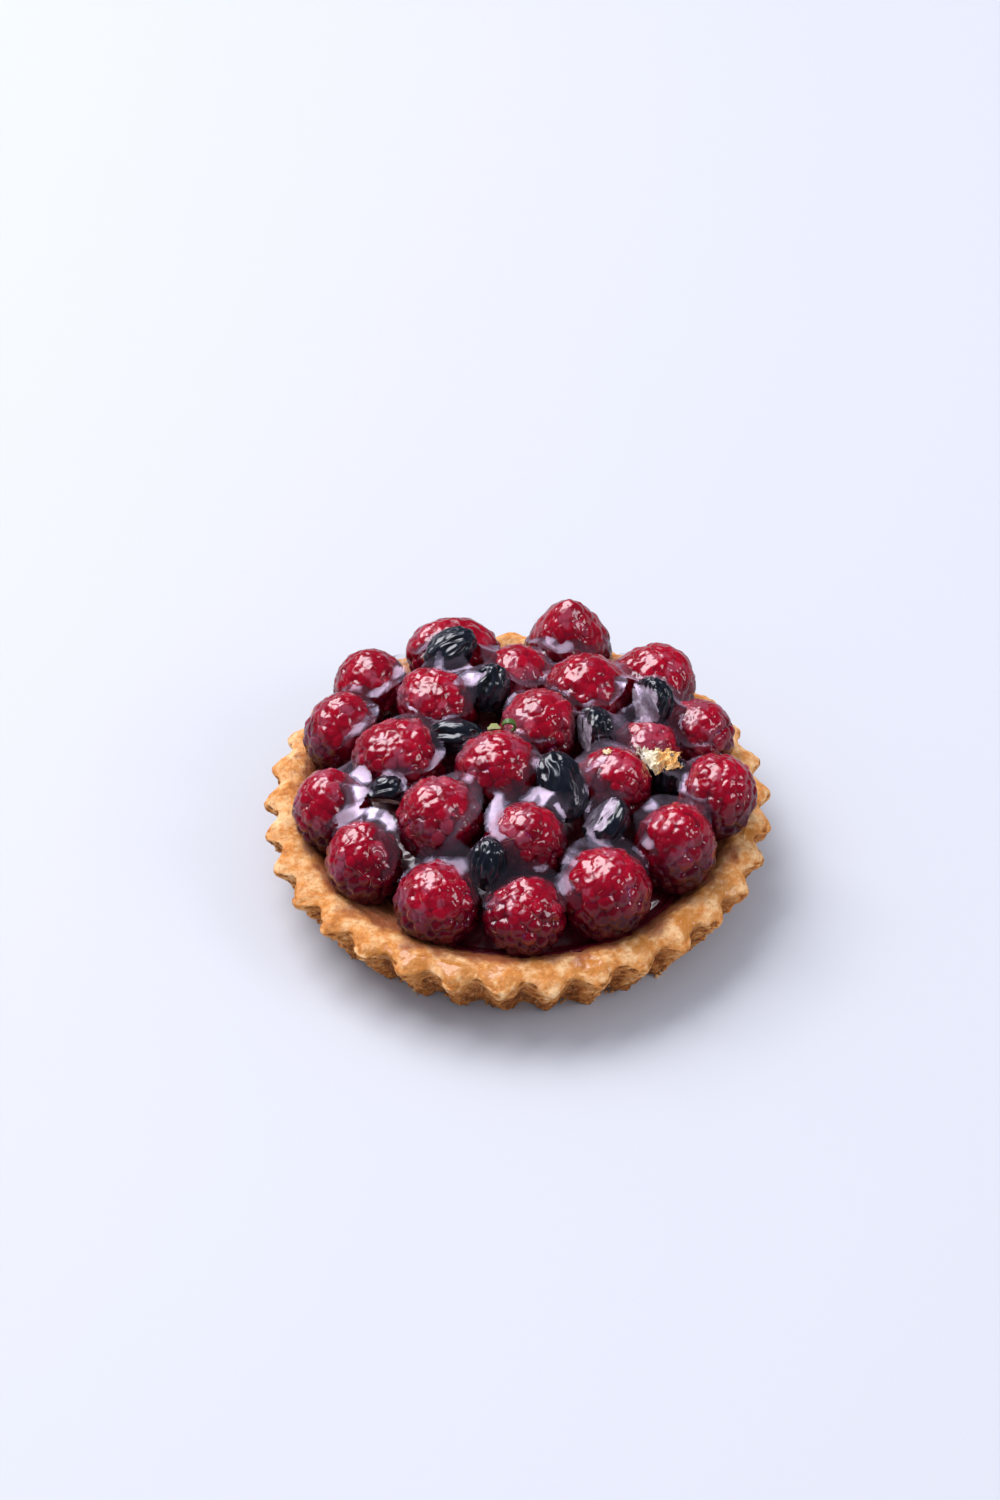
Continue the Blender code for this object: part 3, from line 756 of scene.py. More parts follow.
def flute_crust(radius, height, angle):
    """Radius and height after the flutes, the oval and the unevenness of the part's crust."""
    groove = 0.5 + 0.5 * np.cos((angle - math.radians(GROOVE_BEARING)) * FLUTES)
    on_top = height > CRUST_HEIGHT - TOP_BAND
    inside = (radius < RECESS_EDGE) & (height > UNDERSIDE_TOP)
    up = height / CRUST_HEIGHT
    top_share = smooth_step(radius, *FLUTES_ON_TOP)
    fluting = np.where(on_top, top_share, FLUTE_BASE_SHARE + (1.0 - FLUTE_BASE_SHARE) * up)
    fluting = np.where(inside, 0.0, fluting)
    wander = np.where(inside, 0.0, np.where(on_top, top_share, up))
    shift = FLUTE_UNEVENNESS * (crust_outline_wander(angle) - OUTLINE_MEAN) - OVAL * np.cos(2 * angle)
    shift = wander * shift
    edge = smooth_step(height, *RISING_BAND) * wander
    lift = edge * BACK_RISE * np.maximum(0.0, np.sin(angle)) ** 2
    on_ridge = np.exp(-((radius - RIM_RADIUS) / RIDGE_WIDTH) ** 2)
    lift -= RIDGE_DROOP * (1.0 - groove) * on_ridge * smooth_step(height, *DROOPING_BAND)
    lift += bare_shelf_lift(radius, height, angle)
    ring = smooth_step(height, *RING_BAND) * (radius > RING_START)
    ring_wave = crust_outline_wander(angle + math.radians(RING_WAVE_TURN)) - 1.0
    lift += ring * RING_UNEVENNESS * 0.5 * ring_wave
    return radius - FLUTE_DEPTH * fluting * groove + shift, height + lift, groove


def crust_wetness(points):
    """Where glaze lies on the ring beside the jam, and where juice has stained it."""
    radius = np.hypot(points[:, 0], points[:, 1])
    top = smooth_step(points[:, 2], *WET_BAND)
    top = np.maximum(top, (radius < RING_INNER_RADIUS) & (points[:, 2] > TOP_SIDE_HEIGHT))
    ragged = rough_lumps(points, size=3.0, seed=61) * WET_RAGGED
    edge = smooth_step(RING_INNER_RADIUS + WET_REACH + ragged - radius, *WET_FADE)
    soak = rough_lumps(points, size=5.0, seed=69)
    stain = smooth_step(RING_INNER_RADIUS + STAIN_REACH + STAIN_RAGGED * soak - radius, *STAIN_FADE)
    stain = stain * STAIN_STRENGTH * top
    puddle = np.zeros(len(points))
    for x, y, reach in GLAZE_ON_CRUST:
        away = np.hypot(points[:, 0] - x, points[:, 1] - y)
        shore = reach * (PUDDLE_SIZE + PUDDLE_RAGGED * rough_lumps(points, size=2.6, seed=67))
        puddle = np.maximum(puddle, smooth_step(shore - away, *PUDDLE_FADE))
    return np.maximum(edge * WET_STRENGTH, puddle) * top, stain


def layered(points):
    """The points stretched upward, so that lumps made on them come out flat."""
    return np.stack((points[:, 0], points[:, 1], points[:, 2] * LAYER_SQUEEZE), axis=1)


def crust_relief(points, wall, groove, height, shown):
    """How far the baked skin stands out from the smooth crust, and how deep its pits are."""
    flat = layered(points)
    grain = rough_lumps(points, GRAIN_RELIEF[0], seed=11) * GRAIN_RELIEF[1]
    grain = grain + rough_lumps(points, SWELL_RELIEF[0], seed=23, layers=2) * SWELL_RELIEF[1]
    below_rim = RIM_CRUMB + (1.0 - RIM_CRUMB) * smooth_step(-height, *RIM_FADE)
    crumb = rough_lumps(flat, CRUMB_RELIEF[0], seed=31, layers=4) * CRUMB_RELIEF[1] * wall * below_rim
    pits = smooth_step(lumps(flat, PIT_SIZE, seed=41), *PIT_EDGE)
    in_groove = RIDGE_PITS + (1.0 - RIDGE_PITS) * groove
    pits = pits * (PIT_DEPTHS[0] + PIT_DEPTHS[1] * wall * in_groove)
    return shown * (grain + crumb - pits) - SKIN_SHRINK, pits


def crust_toast(points, flat, radius, wall, groove, pits):
    """How brown each point is painted, from 0, straw, to 1, dark brown, with painted shade low in the
    grooves and in pits and a painted highlight on the ridge tips.
    """
    low = 1.0 - points[:, 2] / CRUST_HEIGHT
    large, fine, small = TOAST_LUMPS
    in_groove = RIDGE_SHADE_AND_TOAST + (1.0 - RIDGE_SHADE_AND_TOAST) * groove
    # Browning and painted shade, darker low on the wall and most in its grooves, and in the pits
    toast = TOAST_LEVEL + SHADE_AND_TOAST_LOW * wall * in_groove * low + SHADE_AND_TOAST_PITS * pits
    toast += large[1] * rough_lumps(points, large[0], seed=51)
    toast += fine[1] * wall * lumps(flat, fine[0], seed=57)
    toast += small[1] * rough_lumps(points, small[0], seed=59)
    # Painted highlight: the ridge tips by the rim are painted paler
    toast -= RIDGE_HIGHLIGHT * (1.0 - groove) * smooth_step(radius, *RIDGE_HIGHLIGHT_BAND)
    return np.clip(toast, 0.0, 1.0)


def fit_to_box(points, node):
    """Centres the points on a CAD node and draws them in where they would pass its sides."""
    low_corner, high_corner = (np.array(corner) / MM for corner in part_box(node))
    middle = (low_corner + high_corner) / 2.0
    points[:, :2] += middle[:2] - (points.min(axis=0)[:2] + points.max(axis=0)[:2]) / 2.0
    for k in range(2):
        half = (high_corner[k] - low_corner[k]) / 2.0
        spread = np.abs(points[:, k] - middle[k]).max()
        points[:, k] = middle[k] + (points[:, k] - middle[k]) * min(1.0, half / spread)


def make_crust(material):
    profile = crust_profile()
    columns = FLUTES * FLUTE_STEPS
    angle = ring_angles(len(profile), columns)
    radius, height, groove = flute_crust(np.repeat(profile[:, 0], columns),
                                         np.repeat(profile[:, 1], columns), angle)
    points = ring_points(radius, angle, height)
    faces = ring_net(len(profile), columns)
    normals = net_normals(points, faces)
    wall = smooth_step(radius, *WALL_START)
    wall = wall * smooth_step(-height, *WALL_TOP)
    shown = smooth_step(radius, *SHOWN_START)
    flat = layered(points)
    relief, pits = crust_relief(points, wall, groove, height, shown)
    points += normals * relief[:, None]
    points[:, 2] = np.maximum(points[:, 2], 0.0)
    toast = crust_toast(points, flat, radius, wall, groove, pits)
    wet, stain = crust_wetness(points)
    fit_to_box(points, "crust")
    marks = {"toast": toast, "wet": wet, "stain": stain}
    piece = put_in_scene("crumbly_crust", points, faces[:, ::-1], material, marks)
    dress(piece, "shortcrust", "crust")


def make_crumbs(material):
    """Crumbs that broke off along the crust's foot."""
    dice = np.random.default_rng(CRUMB_SEED)
    directions, triangles, _ = ball_net(2)
    corners = []
    faces = []
    for number in range(CRUMBS):
        angle = np.array((dice.uniform(0.0, 2 * math.pi),))
        foot, _, _ = flute_crust(np.array((BASE_RADIUS,)), np.array((FOOT_HEIGHT,)), angle)
        size = dice.uniform(*CRUMB_SIZE)
        away = foot[0] + dice.uniform(*CRUMB_PLACE)
        middle = np.array((away * math.cos(angle[0]), away * math.sin(angle[0]), CRUMB_SINK * size))
        stretch = dice.uniform(*CRUMB_STRETCH, 3) * size
        roughness = CRUMB_ROUGHNESS * dice.normal(size=(len(directions), 1))
        points = middle + directions * stretch * (1.0 + roughness)
        points[:, 2] = np.maximum(points[:, 2], 0.0)
        corners.append(points)
        faces.append(triangles + number * len(directions))
    points = np.concatenate(corners)
    toast = np.clip(CRUMB_TOAST[0] + CRUMB_TOAST[1] * lumps(points, size=1.5, seed=77), 0.0, 1.0)
    piece = put_in_scene("foot_crumbs", points, np.concatenate(faces), material, {"toast": toast})
    dress(piece, "shortcrust")


# Jam

# Net of the jam: rings in its middle and toward its edge, and columns
JAM_REACH = 42.9
JAM_RINGS = ((0.4, 36.0), (36.5, JAM_REACH))
JAM_RINGS_EACH = 30
JAM_COLUMNS = 320

# The CAD jam is measured no further out than this, because its edge drops off
JAM_MEASURED = 39.5

# How far its edge draws back away from the front, and beside the bare crust
JAM_RETREAT = 3.0
DRY_RETREAT = 3.0
FRONT_DEGREES = (24.0, 42.0)
DRY_DEGREES = (-18.0, -7.0)
JAM_RAGGED = 0.7
JAM_SHORT = 0.2

# How it lies on the crust's slope: thickness, the edge tucked down, ripples, and how they calm as it climbs
SLOPE_BY_JAM = 0.75
JAM_THICKNESS = 0.30
JAM_TUCK = 0.75
JAM_TUCKED = (41.6, JAM_REACH)
JAM_MOVING = (34.0, JAM_REACH)
JAM_RIPPLE = 0.35
JAM_CLIMB = (38.0, 41.0)
JAM_CALM = 0.6


def jam_edge(angle):
    """How far the jam's edge runs out, or draws back, at each angle."""
    places = np.stack((JAM_REACH * np.cos(angle), JAM_REACH * np.sin(angle), 0.0 * angle), axis=1)
    retreat = JAM_RETREAT * smooth_step(degrees_from(angle, JAM_FRONT), *FRONT_DEGREES)
    edge = JAM_RAGGED * rough_lumps(places, size=5.0, seed=73) - JAM_SHORT - retreat
    return edge - DRY_RETREAT * smooth_step(-degrees_from(angle, DRY_BEARING), *DRY_DEGREES)


def make_jam(material):
    tree = node_tree("jam")
    rings = np.concatenate([np.linspace(start, end, JAM_RINGS_EACH) for start, end in JAM_RINGS])
    rows = len(rings)
    heights = [height_under(tree, min(ring, JAM_MEASURED), 0.0, 0.0) for ring in rings]
    radius = np.repeat(rings, JAM_COLUMNS)
    height = np.repeat(heights, JAM_COLUMNS)
    angle = ring_angles(rows, JAM_COLUMNS)
    tuck = JAM_TUCK * smooth_step(radius, *JAM_TUCKED)
    radius = radius + jam_edge(angle) * smooth_step(radius, *JAM_MOVING)
    points = ring_points(radius, angle, height)
    ripple = rough_lumps(points, size=3.2, seed=71) * JAM_RIPPLE
    slope = CRUST_HEIGHT - RING_CROWN - SLOPE_BY_JAM * (RING_INNER_RADIUS - radius)
    calm = 1.0 - JAM_CALM * smooth_step(radius, *JAM_CLIMB)
    points[:, 2] = np.maximum(points[:, 2] + ripple * calm, slope + JAM_THICKNESS - tuck)
    piece = put_in_scene("wet_jam", points, ring_net(rows, JAM_COLUMNS), material)
    dress(piece, "dark_jam", "jam")


# Raspberries

# Drupelets against their width: the round of each, and the area that each takes up
CELL_BULGE = 0.66
CELL_PACKING = 0.87
CELL_LIFT = 0.5
CREASE_WIDTH = 0.55
CREASE_DEPTH = 0.62

# How unlike each other they are: place, roundness, and how far they stand out
CELL_SCATTER = 0.14
BULGE_RANGE = (0.90, 1.12)
STAND_SCATTER = 0.09
TURN_RANGE = 6.28

# Rounds in which drupelets push each other apart, and how hard; one that is FAR off pushes nothing
PUSH_ROUNDS = 5
PUSH = 0.3
FAR = 9.0

# Depth of the creases below, and how much less it is above, where glaze fills them. Dents of the
# skin are width, seed and height, and the glaze has fine folds on the upper side.
RELIEF_BELOW = 0.74
RELIEF_FILLED = 0.46
SKIN_DENTS = ((1.7, 91, 0.16), (6.0, 95, 0.22))
CREASE_ROUNDING = 1.5

# The upper side: how it leans away from the front, how ragged its border is, and where it fades in
UPPER_LEAN = 0.35
UPPER_RAGGED = 0.45
UPPER_BAND = (-0.05, 0.75)

# Painted shade below, painted lilac highlights along the creases, and a veil that is partly the glaze
# dripping down the berry and partly painted window sheen
SHADE_BAND = (-0.45, 0.38)
SHADE_AMOUNTS = (0.85, 0.25)
LINE_EDGE = (0.86, 1.0)
LINE_PATCHES = (0.0, 0.5)
DRIP_SQUEEZE = 0.45
VEIL_WANDER = 0.5
VEIL_EDGE = (0.12, 0.42)
VEIL_LEAN = 0.35
VEIL_BAND = (0.0, 0.8)
VEIL_OFF_CREASE = 0.7

# How strongly each of these shows; the tint starts low and grows with a drupelet's own tone, and upward as
# painted light on the upper side
VEIL_SHOWS = 0.12
SHADE_SHOWS = 0.95
LINE_SHOWS = 0.35
CREASE_FILLED = 0.4
TINT_START = 0.03
TINT_TONE = 0.32
PAINTED_LIGHT_UPPER = 0.48
GLAZE_FOLD = 0.08

# How many rounds of blurring take the facets off each kind of berry's solid
RASPBERRY_BLUR = 9
DARK_BERRY_BLUR = 14

# Where each kind of piece starts counting its random numbers from
RASPBERRY_SEED = 100
DARK_BERRY_SEED = 200
DARK_BERRY_SEED_STEP = 7
HAIR_SEED = 500


def spread_cells(count, dice):
    """Directions spread over a ball the way drupelets pack, none exactly even."""
    number = np.arange(count) + 0.5
    rise = 1.0 - 2.0 * number / count
    turn = number * GOLDEN_TURN + dice.uniform(0.0, TURN_RANGE)
    level = np.sqrt(1.0 - rise * rise)
    cells = np.stack((level * np.cos(turn), level * np.sin(turn), rise), axis=1)
    spacing = math.sqrt(12.0 / count)
    cells += dice.normal(0.0, CELL_SCATTER * spacing, cells.shape)
    for _ in range(PUSH_ROUNDS):
        cells /= np.linalg.norm(cells, axis=1)[:, None]
        gap = cells[:, None, :] - cells[None, :, :]
        away = np.sqrt((gap * gap).sum(axis=2)) + np.eye(count) * FAR
        push = (gap / away[:, :, None] * np.clip(spacing - away, 0.0, None)[:, :, None]).sum(axis=1)
        cells += PUSH * push
    cells /= np.linalg.norm(cells, axis=1)[:, None]
    mix = np.linalg.qr(dice.normal(size=(3, 3)))[0]
    return cells @ mix


def two_nearest_domes(skin, spots, bulge, stand):
    """Height of the highest and the next drupelet over each point, and which one is the highest."""
    apart = (skin * skin).sum(1)[:, None] + (spots * spots).sum(1)[None, :] - 2.0 * skin @ spots.T
    dome = np.sqrt(np.clip(bulge[None, :] ** 2 - apart, 0.0, None)) + stand[None, :]
    order = np.argpartition(-dome, 1, axis=1)[:, :2]
    pair = np.take_along_axis(dome, order, axis=1)
    cell = order[np.arange(len(order)), np.argmax(pair, axis=1)]
    return pair.max(axis=1), pair.min(axis=1), cell


def raspberry_marks(directions, place, edge, upper, tone):
    """Values for the raspberry's colours, each from 0 to 1, most of them painted light and shade."""
    # Painted shade: darker toward the underside, in dappled patches
    lower = smooth_step(-directions[:, 2], *SHADE_BAND)
    dapple = SHADE_AMOUNTS[1] * rough_lumps(place, size=6.0, seed=99, layers=2)
    shade = np.clip(lower * SHADE_AMOUNTS[0] + dapple, 0.0, 1.0)
    # Painted highlight lines along the creases, in patches and not on the upper side
    line = smooth_step(edge, *LINE_EDGE) * smooth_step(lumps(place, size=2.5, seed=103), *LINE_PATCHES)
    drips = np.stack((place[:, 0], place[:, 1], place[:, 2] * DRIP_SQUEEZE), axis=1)
    run = rough_lumps(drips, size=3.6, seed=107) + VEIL_WANDER * lumps(place, size=9.0, seed=109)
    veil_and_sheen = smooth_step(run, *VEIL_EDGE)
    # The veil is painted only on faces turned toward the window, as a painted reflection
    toward_window = smooth_step(directions[:, 2] - VEIL_LEAN * directions[:, 0], *VEIL_BAND)
    veil_and_sheen *= toward_window * (1.0 - VEIL_OFF_CREASE * edge ** 2)
    return {
        "veil_and_sheen": veil_and_sheen * VEIL_SHOWS,
        # Painted shade in the creases between drupelets
        "crease_shade": edge ** 2 * (1.0 - CREASE_FILLED * upper),
        # The tint rises on the upper side as painted light
        "tint": TINT_START + TINT_TONE * tone + PAINTED_LIGHT_UPPER * upper,
        "shade": shade * SHADE_SHOWS,
        "crease_glint": line * LINE_SHOWS * (1.0 - upper),
    }


def knobbly(directions, reach, centre, size, dice):
    """Reach of a raspberry's skin with its drupelets, and marks for its colours."""
    area = 4.0 * math.pi * np.mean(reach * reach)
    count = int(area / (CELL_PACKING * size * size))
    cells = spread_cells(count, dice)
    nearest = np.argmax(cells @ directions.T, axis=1)
    spots = cells * reach[nearest][:, None]
    skin = directions * reach[:, None]
    full = size * CELL_BULGE
    bulge = full * dice.uniform(*BULGE_RANGE, count)
    stand = dice.normal(0.0, STAND_SCATTER, count)
    first, second, cell = two_nearest_domes(skin, spots, bulge, stand)
    edge = 1.0 - np.clip((first - second) / CREASE_WIDTH, 0.0, 1.0)
    deepest = CREASE_DEPTH * full
    place = centre + skin
    facing_up = directions[:, 2] + UPPER_LEAN * directions[:, 1]
    border = UPPER_RAGGED * rough_lumps(place, size=5.0, seed=81, layers=2)
    upper = smooth_step(facing_up + border, *UPPER_BAND)
    relief = RELIEF_BELOW - RELIEF_FILLED * upper
    dents = sum(rough_lumps(place, width, seed, 2) * height for width, seed, height in SKIN_DENTS)
    dents += GLAZE_FOLD * upper * ridges(lumps(place, size=1.6, seed=97))
    sunk = np.clip((full - first) / deepest, 0.0, 1.0) ** CREASE_ROUNDING
    result = reach + CELL_LIFT - deepest * relief * sunk + dents
    tone = dice.random(count)[cell]
    return result, raspberry_marks(directions, place, edge, upper, tone)


def make_raspberry(name, directions, faces, edges, material):
    dice = np.random.default_rng(RASPBERRY_SEED + int(name[-2:]))
    centre, reach = node_reach(name, directions)
    reach = blurred(reach, edges, RASPBERRY_BLUR)
    result, marks = knobbly(directions, reach, centre, CELL_SIZES.get(name, CELL_SIZE), dice)
    points = centre + directions * result[:, None]
    piece = put_in_scene(name + "_glazed", points, faces, material, marks)
    dress(piece, "raspberry_red", name)
    return points, faces


# Dark berries

# Wrinkles run along the berry: how much they are drawn out, their width and height
WRINKLE_STRETCH = 0.68
WRINKLE_WIDTH = 2.3
WRINKLE_HEIGHT = 0.40
WRINKLE_SINK = 0.16
SKIN_LUMPS = (2.2, 0.12)

# Cut faces: how far the knife went in, how uneven the flesh is, and its soft border
CUT_DEPTH = 0.3
FLESH_LUMPS = (1.6, 0.10)
FLESH_BORDER = 0.03

# The cut reaches only points that face the knife at least this much
LEAST_FACING = 0.1
SAFE_FACING = 0.05

# Tone of the skin halfway up a fold, and how it grows over the fold, so the hollows between folds are
# painted darker as shade
FOLD_SHADE_TONE = (0.3, 0.5)


def long_axis(points):
    spread = points - points.mean(axis=0)
    return np.linalg.eigh(spread.T @ spread)[1][:, 2]


def cut_open(name, directions, skin, result, seed):
    """Reach of a berry's skin after the cut, and 1 where flesh shows."""
    bearing, rise = (math.radians(value) for value in CUT_FACES[name])
    level = math.cos(rise)
    face = np.array((level * math.cos(bearing), level * math.sin(bearing), math.sin(rise)))
    facing = directions @ face
    toward = np.clip(facing, SAFE_FACING, None)
    size, height = FLESH_LUMPS
    limit = (skin @ face).max() - CUT_DEPTH + height * rough_lumps(skin, size, seed, 2)
    share = limit / (toward * result)
    cut = (facing > LEAST_FACING) & (share < 1.0)
    flesh = np.where(cut, smooth_step(1.0 - share, 0.0, FLESH_BORDER), 0.0)
    return np.where(cut, limit / toward, result), flesh


def make_dark_berry(name, directions, faces, edges, material):
    centre, reach = node_reach(name, directions)
    reach = blurred(reach, edges, DARK_BERRY_BLUR)
    seed = DARK_BERRY_SEED + DARK_BERRY_SEED_STEP * int(name[-2:])
    axis = long_axis(node_points(name))
    skin = directions * reach[:, None]
    along = skin @ axis
    drawn_out = skin - along[:, None] * axis * WRINKLE_STRETCH
    fold = ridges(rough_lumps(drawn_out + seed, WRINKLE_WIDTH, seed, 2))
    size, height = SKIN_LUMPS
    result = reach + WRINKLE_HEIGHT * fold - WRINKLE_SINK + height * lumps(skin, size, seed + 5)
    flesh = np.zeros(len(result))
    if name in CUT_FACES:
        result, flesh = cut_open(name, directions, skin, result, seed + 9)
    points = centre + directions * result[:, None]
    tan = np.full(len(result), float(name == TAN_BERRY))
    # The hollows between folds are painted darker as shade
    tone = np.clip(fold * FOLD_SHADE_TONE[1] + FOLD_SHADE_TONE[0], 0.0, 1.0)
    marks = {"flesh": flesh, "fold": tone, "tan": tan}
    piece = put_in_scene(name + "_skin", points, faces, material, marks)
    dress(piece, "dark_skin", name)
    return points, faces


# Glaze film

# Net of the film, and the ball that is rolled over the berries to find how it hangs
FILM_STEP = 0.3
FILM_REACH = 50.0
FILM_BALL = 6.5
FILM_ROUNDS = 22
FILM_SINK = 0.05

# How far the film falls short of the ball: on the whole, by lumps, and less in its pools
FILM_GAP = 1.35
FILM_GAP_LUMPS = (9.0, 0.9)
POOL_FILL = 1.5
POOL_SHAPE = 0.42
FILM_RIPPLE = (5.0, 0.16)
POOL_RIDGES = (4.2, 0.12)

# Where the film is left out: sunk in berries, too far out, too low, too steep or too small a patch
FILM_SUNK = 0.6
FILM_EDGE = 44.0
FILM_LOWEST = 10.0
FILM_STEEPEST = 3.5
FILM_LEAST_CELLS = 90

# How the film thins toward its border, and the height at which its lumps are read
BORDER_ROUNDS = 8
BORDER_FADE = (0.55, 0.98)
LUMP_LEVEL = 3.0

# How milky the pools look, from which depth on, and the clouds in them
MILKINESS = 0.24
MILKY_DEPTH = (0.1, 1.0)
CLOUD_BAND = (-0.9, 0.3)

# Thick pools of glaze between the berries: x, y and width
FILM_POOLS = ((-33.6, -9.6, 12.0), (-29.1, -14.4, 11.0), (-24.1, 15.5, 12.0), (-26.5, 9.7, 9.0),
              (-18.2, 28.7, 13.0), (-13.5, 23.6, 11.0), (14.8, -11.0, 13.0), (18.4, -6.9, 11.0),
              (11.3, -16.2, 10.0), (30.9, -6.3, 10.0), (28.3, -11.0, 9.0), (-8.6, -19.0, 12.0),
              (-12.5, -21.6, 9.0), (-3.6, 15.0, 8.0), (2.6, 32.3, 8.0), (22.0, 16.1, 11.0),
              (18.7, 5.7, 8.0), (5.9, -18.4, 8.0), (-24.8, -2.0, 8.0), (28.3, 19.1, 8.0),
              (-28.3, -21.6, 8.0), (36.9, 3.8, 8.0), (-9.8, 15.0, 9.0))

# Height that stands for no berry under a place
NO_BERRY = -5.0


def heap_heights(meshes, spots):
    """Height of the heap's top skin over each spot."""
    offset = 0
    corners = []
    faces = []
    for points, triangles in meshes:
        corners.append(points)
        faces.append(triangles + offset)
        offset += len(points)
    tree = BVHTree.FromPolygons(np.concatenate(corners).tolist(), np.concatenate(faces).tolist())
    return np.array([height_under(tree, x, y, NO_BERRY) for x, y in spots])


def rolled_over(heights, radius):
    """The lowest surface that a ball of this radius can reach from above, on a square net."""
    cells = int(radius / FILM_STEP)
    steps = [(i, j) for i in range(-cells, cells + 1) for j in range(-cells, cells + 1)
             if i * i + j * j <= cells * cells]
    # The last term keeps the root of nothing from falling below nothing
    cap = {(i, j): math.sqrt(radius ** 2 - (i * i + j * j) * FILM_STEP ** 2 + 1e-6) - radius
           for i, j in steps}
    centre = np.full_like(heights, -np.inf)
    for i, j in steps:
        centre = np.maximum(centre, np.roll(heights, (i, j), (0, 1)) + cap[i, j])
    surface = np.full_like(heights, np.inf)
    for i, j in steps:
        surface = np.minimum(surface, np.roll(centre, (i, j), (0, 1)) - cap[i, j])
    return surface


def smoothed(net, rounds):
    for _ in range(rounds):
        net = (net + sum(np.roll(net, step, (0, 1)) for step in ((1, 0), (-1, 0), (0, 1), (0, -1)))) / 5.0
    return net


def pool_strength(x, y):
    """1 in the middle of a pool of glaze, falling to 0 around it."""
    pool = np.zeros_like(x)
    for px, py, width in FILM_POOLS:
        away = (x - px) ** 2 + (y - py) ** 2
        pool = np.maximum(pool, np.exp(-away / (POOL_SHAPE * width) ** 2))
    return pool


def film_level(below, places, pool):
    """Height of the film over the whole net."""
    size, amount = FILM_GAP_LUMPS
    gap = FILM_GAP - amount * rough_lumps(places, size, seed=301, layers=2).reshape(pool.shape)
    gap -= POOL_FILL * pool
    size, amount = FILM_RIPPLE
    ripple = rough_lumps(places, size, seed=311, layers=2).reshape(pool.shape) * amount
    size, amount = POOL_RIDGES
    ripple += amount * pool * ridges(lumps(places, size, seed=317)).reshape(pool.shape)
    hung = rolled_over(below, FILM_BALL) - np.maximum(gap, 0.0)
    return smoothed(hung, FILM_ROUNDS) + ripple - FILM_SINK


def film_cells(keep, wet, level):
    """Cells of the net where the film shows."""
    a, b, c, d = cell_corners(level)
    steep = np.abs(a - c) + np.abs(b - d)
    near = ~whole_cells(~wet)
    whole = whole_cells(keep) & (steep < FILM_STEEPEST)
    return without_islands(whole & near, FILM_LEAST_CELLS)


def make_film(meshes, material):
    count = int(2 * FILM_REACH / FILM_STEP) + 1
    line = np.linspace(-FILM_REACH, FILM_REACH, count)
    x, y = np.meshgrid(line, line, indexing="ij")
    spots = np.stack((x.ravel(), y.ravel()), axis=1)
    places = np.stack((x.ravel(), y.ravel(), np.full(x.size, LUMP_LEVEL)), axis=1)
    below = heap_heights(meshes, spots).reshape(count, count)
    pool = pool_strength(x, y)
    level = film_level(below, places, pool)
    depth = level - below
    keep = (depth > -FILM_SUNK) & (np.hypot(x, y) < FILM_EDGE) & (below > FILM_LOWEST)
    inner = smooth_step(smoothed(keep.astype(float), BORDER_ROUNDS), *BORDER_FADE)
    used, faces = net_faces(film_cells(keep, depth > 0.0, level))
    points = np.stack((x.ravel(), y.ravel(), level.ravel()), axis=1)[used]
    cloud = rough_lumps(points, size=6.0, seed=321, layers=2)
    milky = MILKINESS * pool.ravel()[used] * smooth_step(cloud, *CLOUD_BAND)
    body = inner.ravel()[used]
    haze = milky * smooth_step(depth.ravel()[used], *MILKY_DEPTH) * body
    piece = put_in_scene("glaze_film", points, faces, material, {"haze": haze, "body": body})
    dress(piece, "dark_jam")


# Gold leaf and herb

# The leaf: points of its net, its crumples, thickness and smallest patch
LEAF_NET = (110, 80)
LEAF_CRUMPLE = 0.6
LEAF_THICKNESS = 0.08
LEAF_SINK = 0.1
LEAF_LEAST_CELLS = 60
LEAF_HOLES = -0.62

# Its torn border: how fast the edge counts, how ragged it is and where it ends
LEAF_EDGE_GAIN = 5.0
LEAF_RAGGED = 1.3
LEAF_BORDER = 0.12

# How dark it is: toward the right, in crumples, and less everywhere
LEAF_TINT_RIGHT = 0.62
LEAF_TINT_BAND = (0.25, 0.6)
LEAF_TINT_CRUMPLE = 0.55
LEAF_TINT_LESS = 0.1

# The speck: its middle, half sizes, points of its net, height over the berry and smallest patch
GOLD_SPECK = (17.6, -5.8)
SPECK_HALF = (1.1, 1.0)
SPECK_NET = 16
SPECK_LIFT = 0.3
SPECK_CRUMPLE = 0.35
SPECK_LEAST_CELLS = 20
SPECK_RAGGED = 0.5
SPECK_ROUND = 0.95
SPECK_TINT = (0.35, 0.5)


def give_thickness(piece):
    thick = piece.modifiers.new("Thickness", "SOLIDIFY")
    thick.thickness = LEAF_THICKNESS * MM
    thick.offset = -1.0


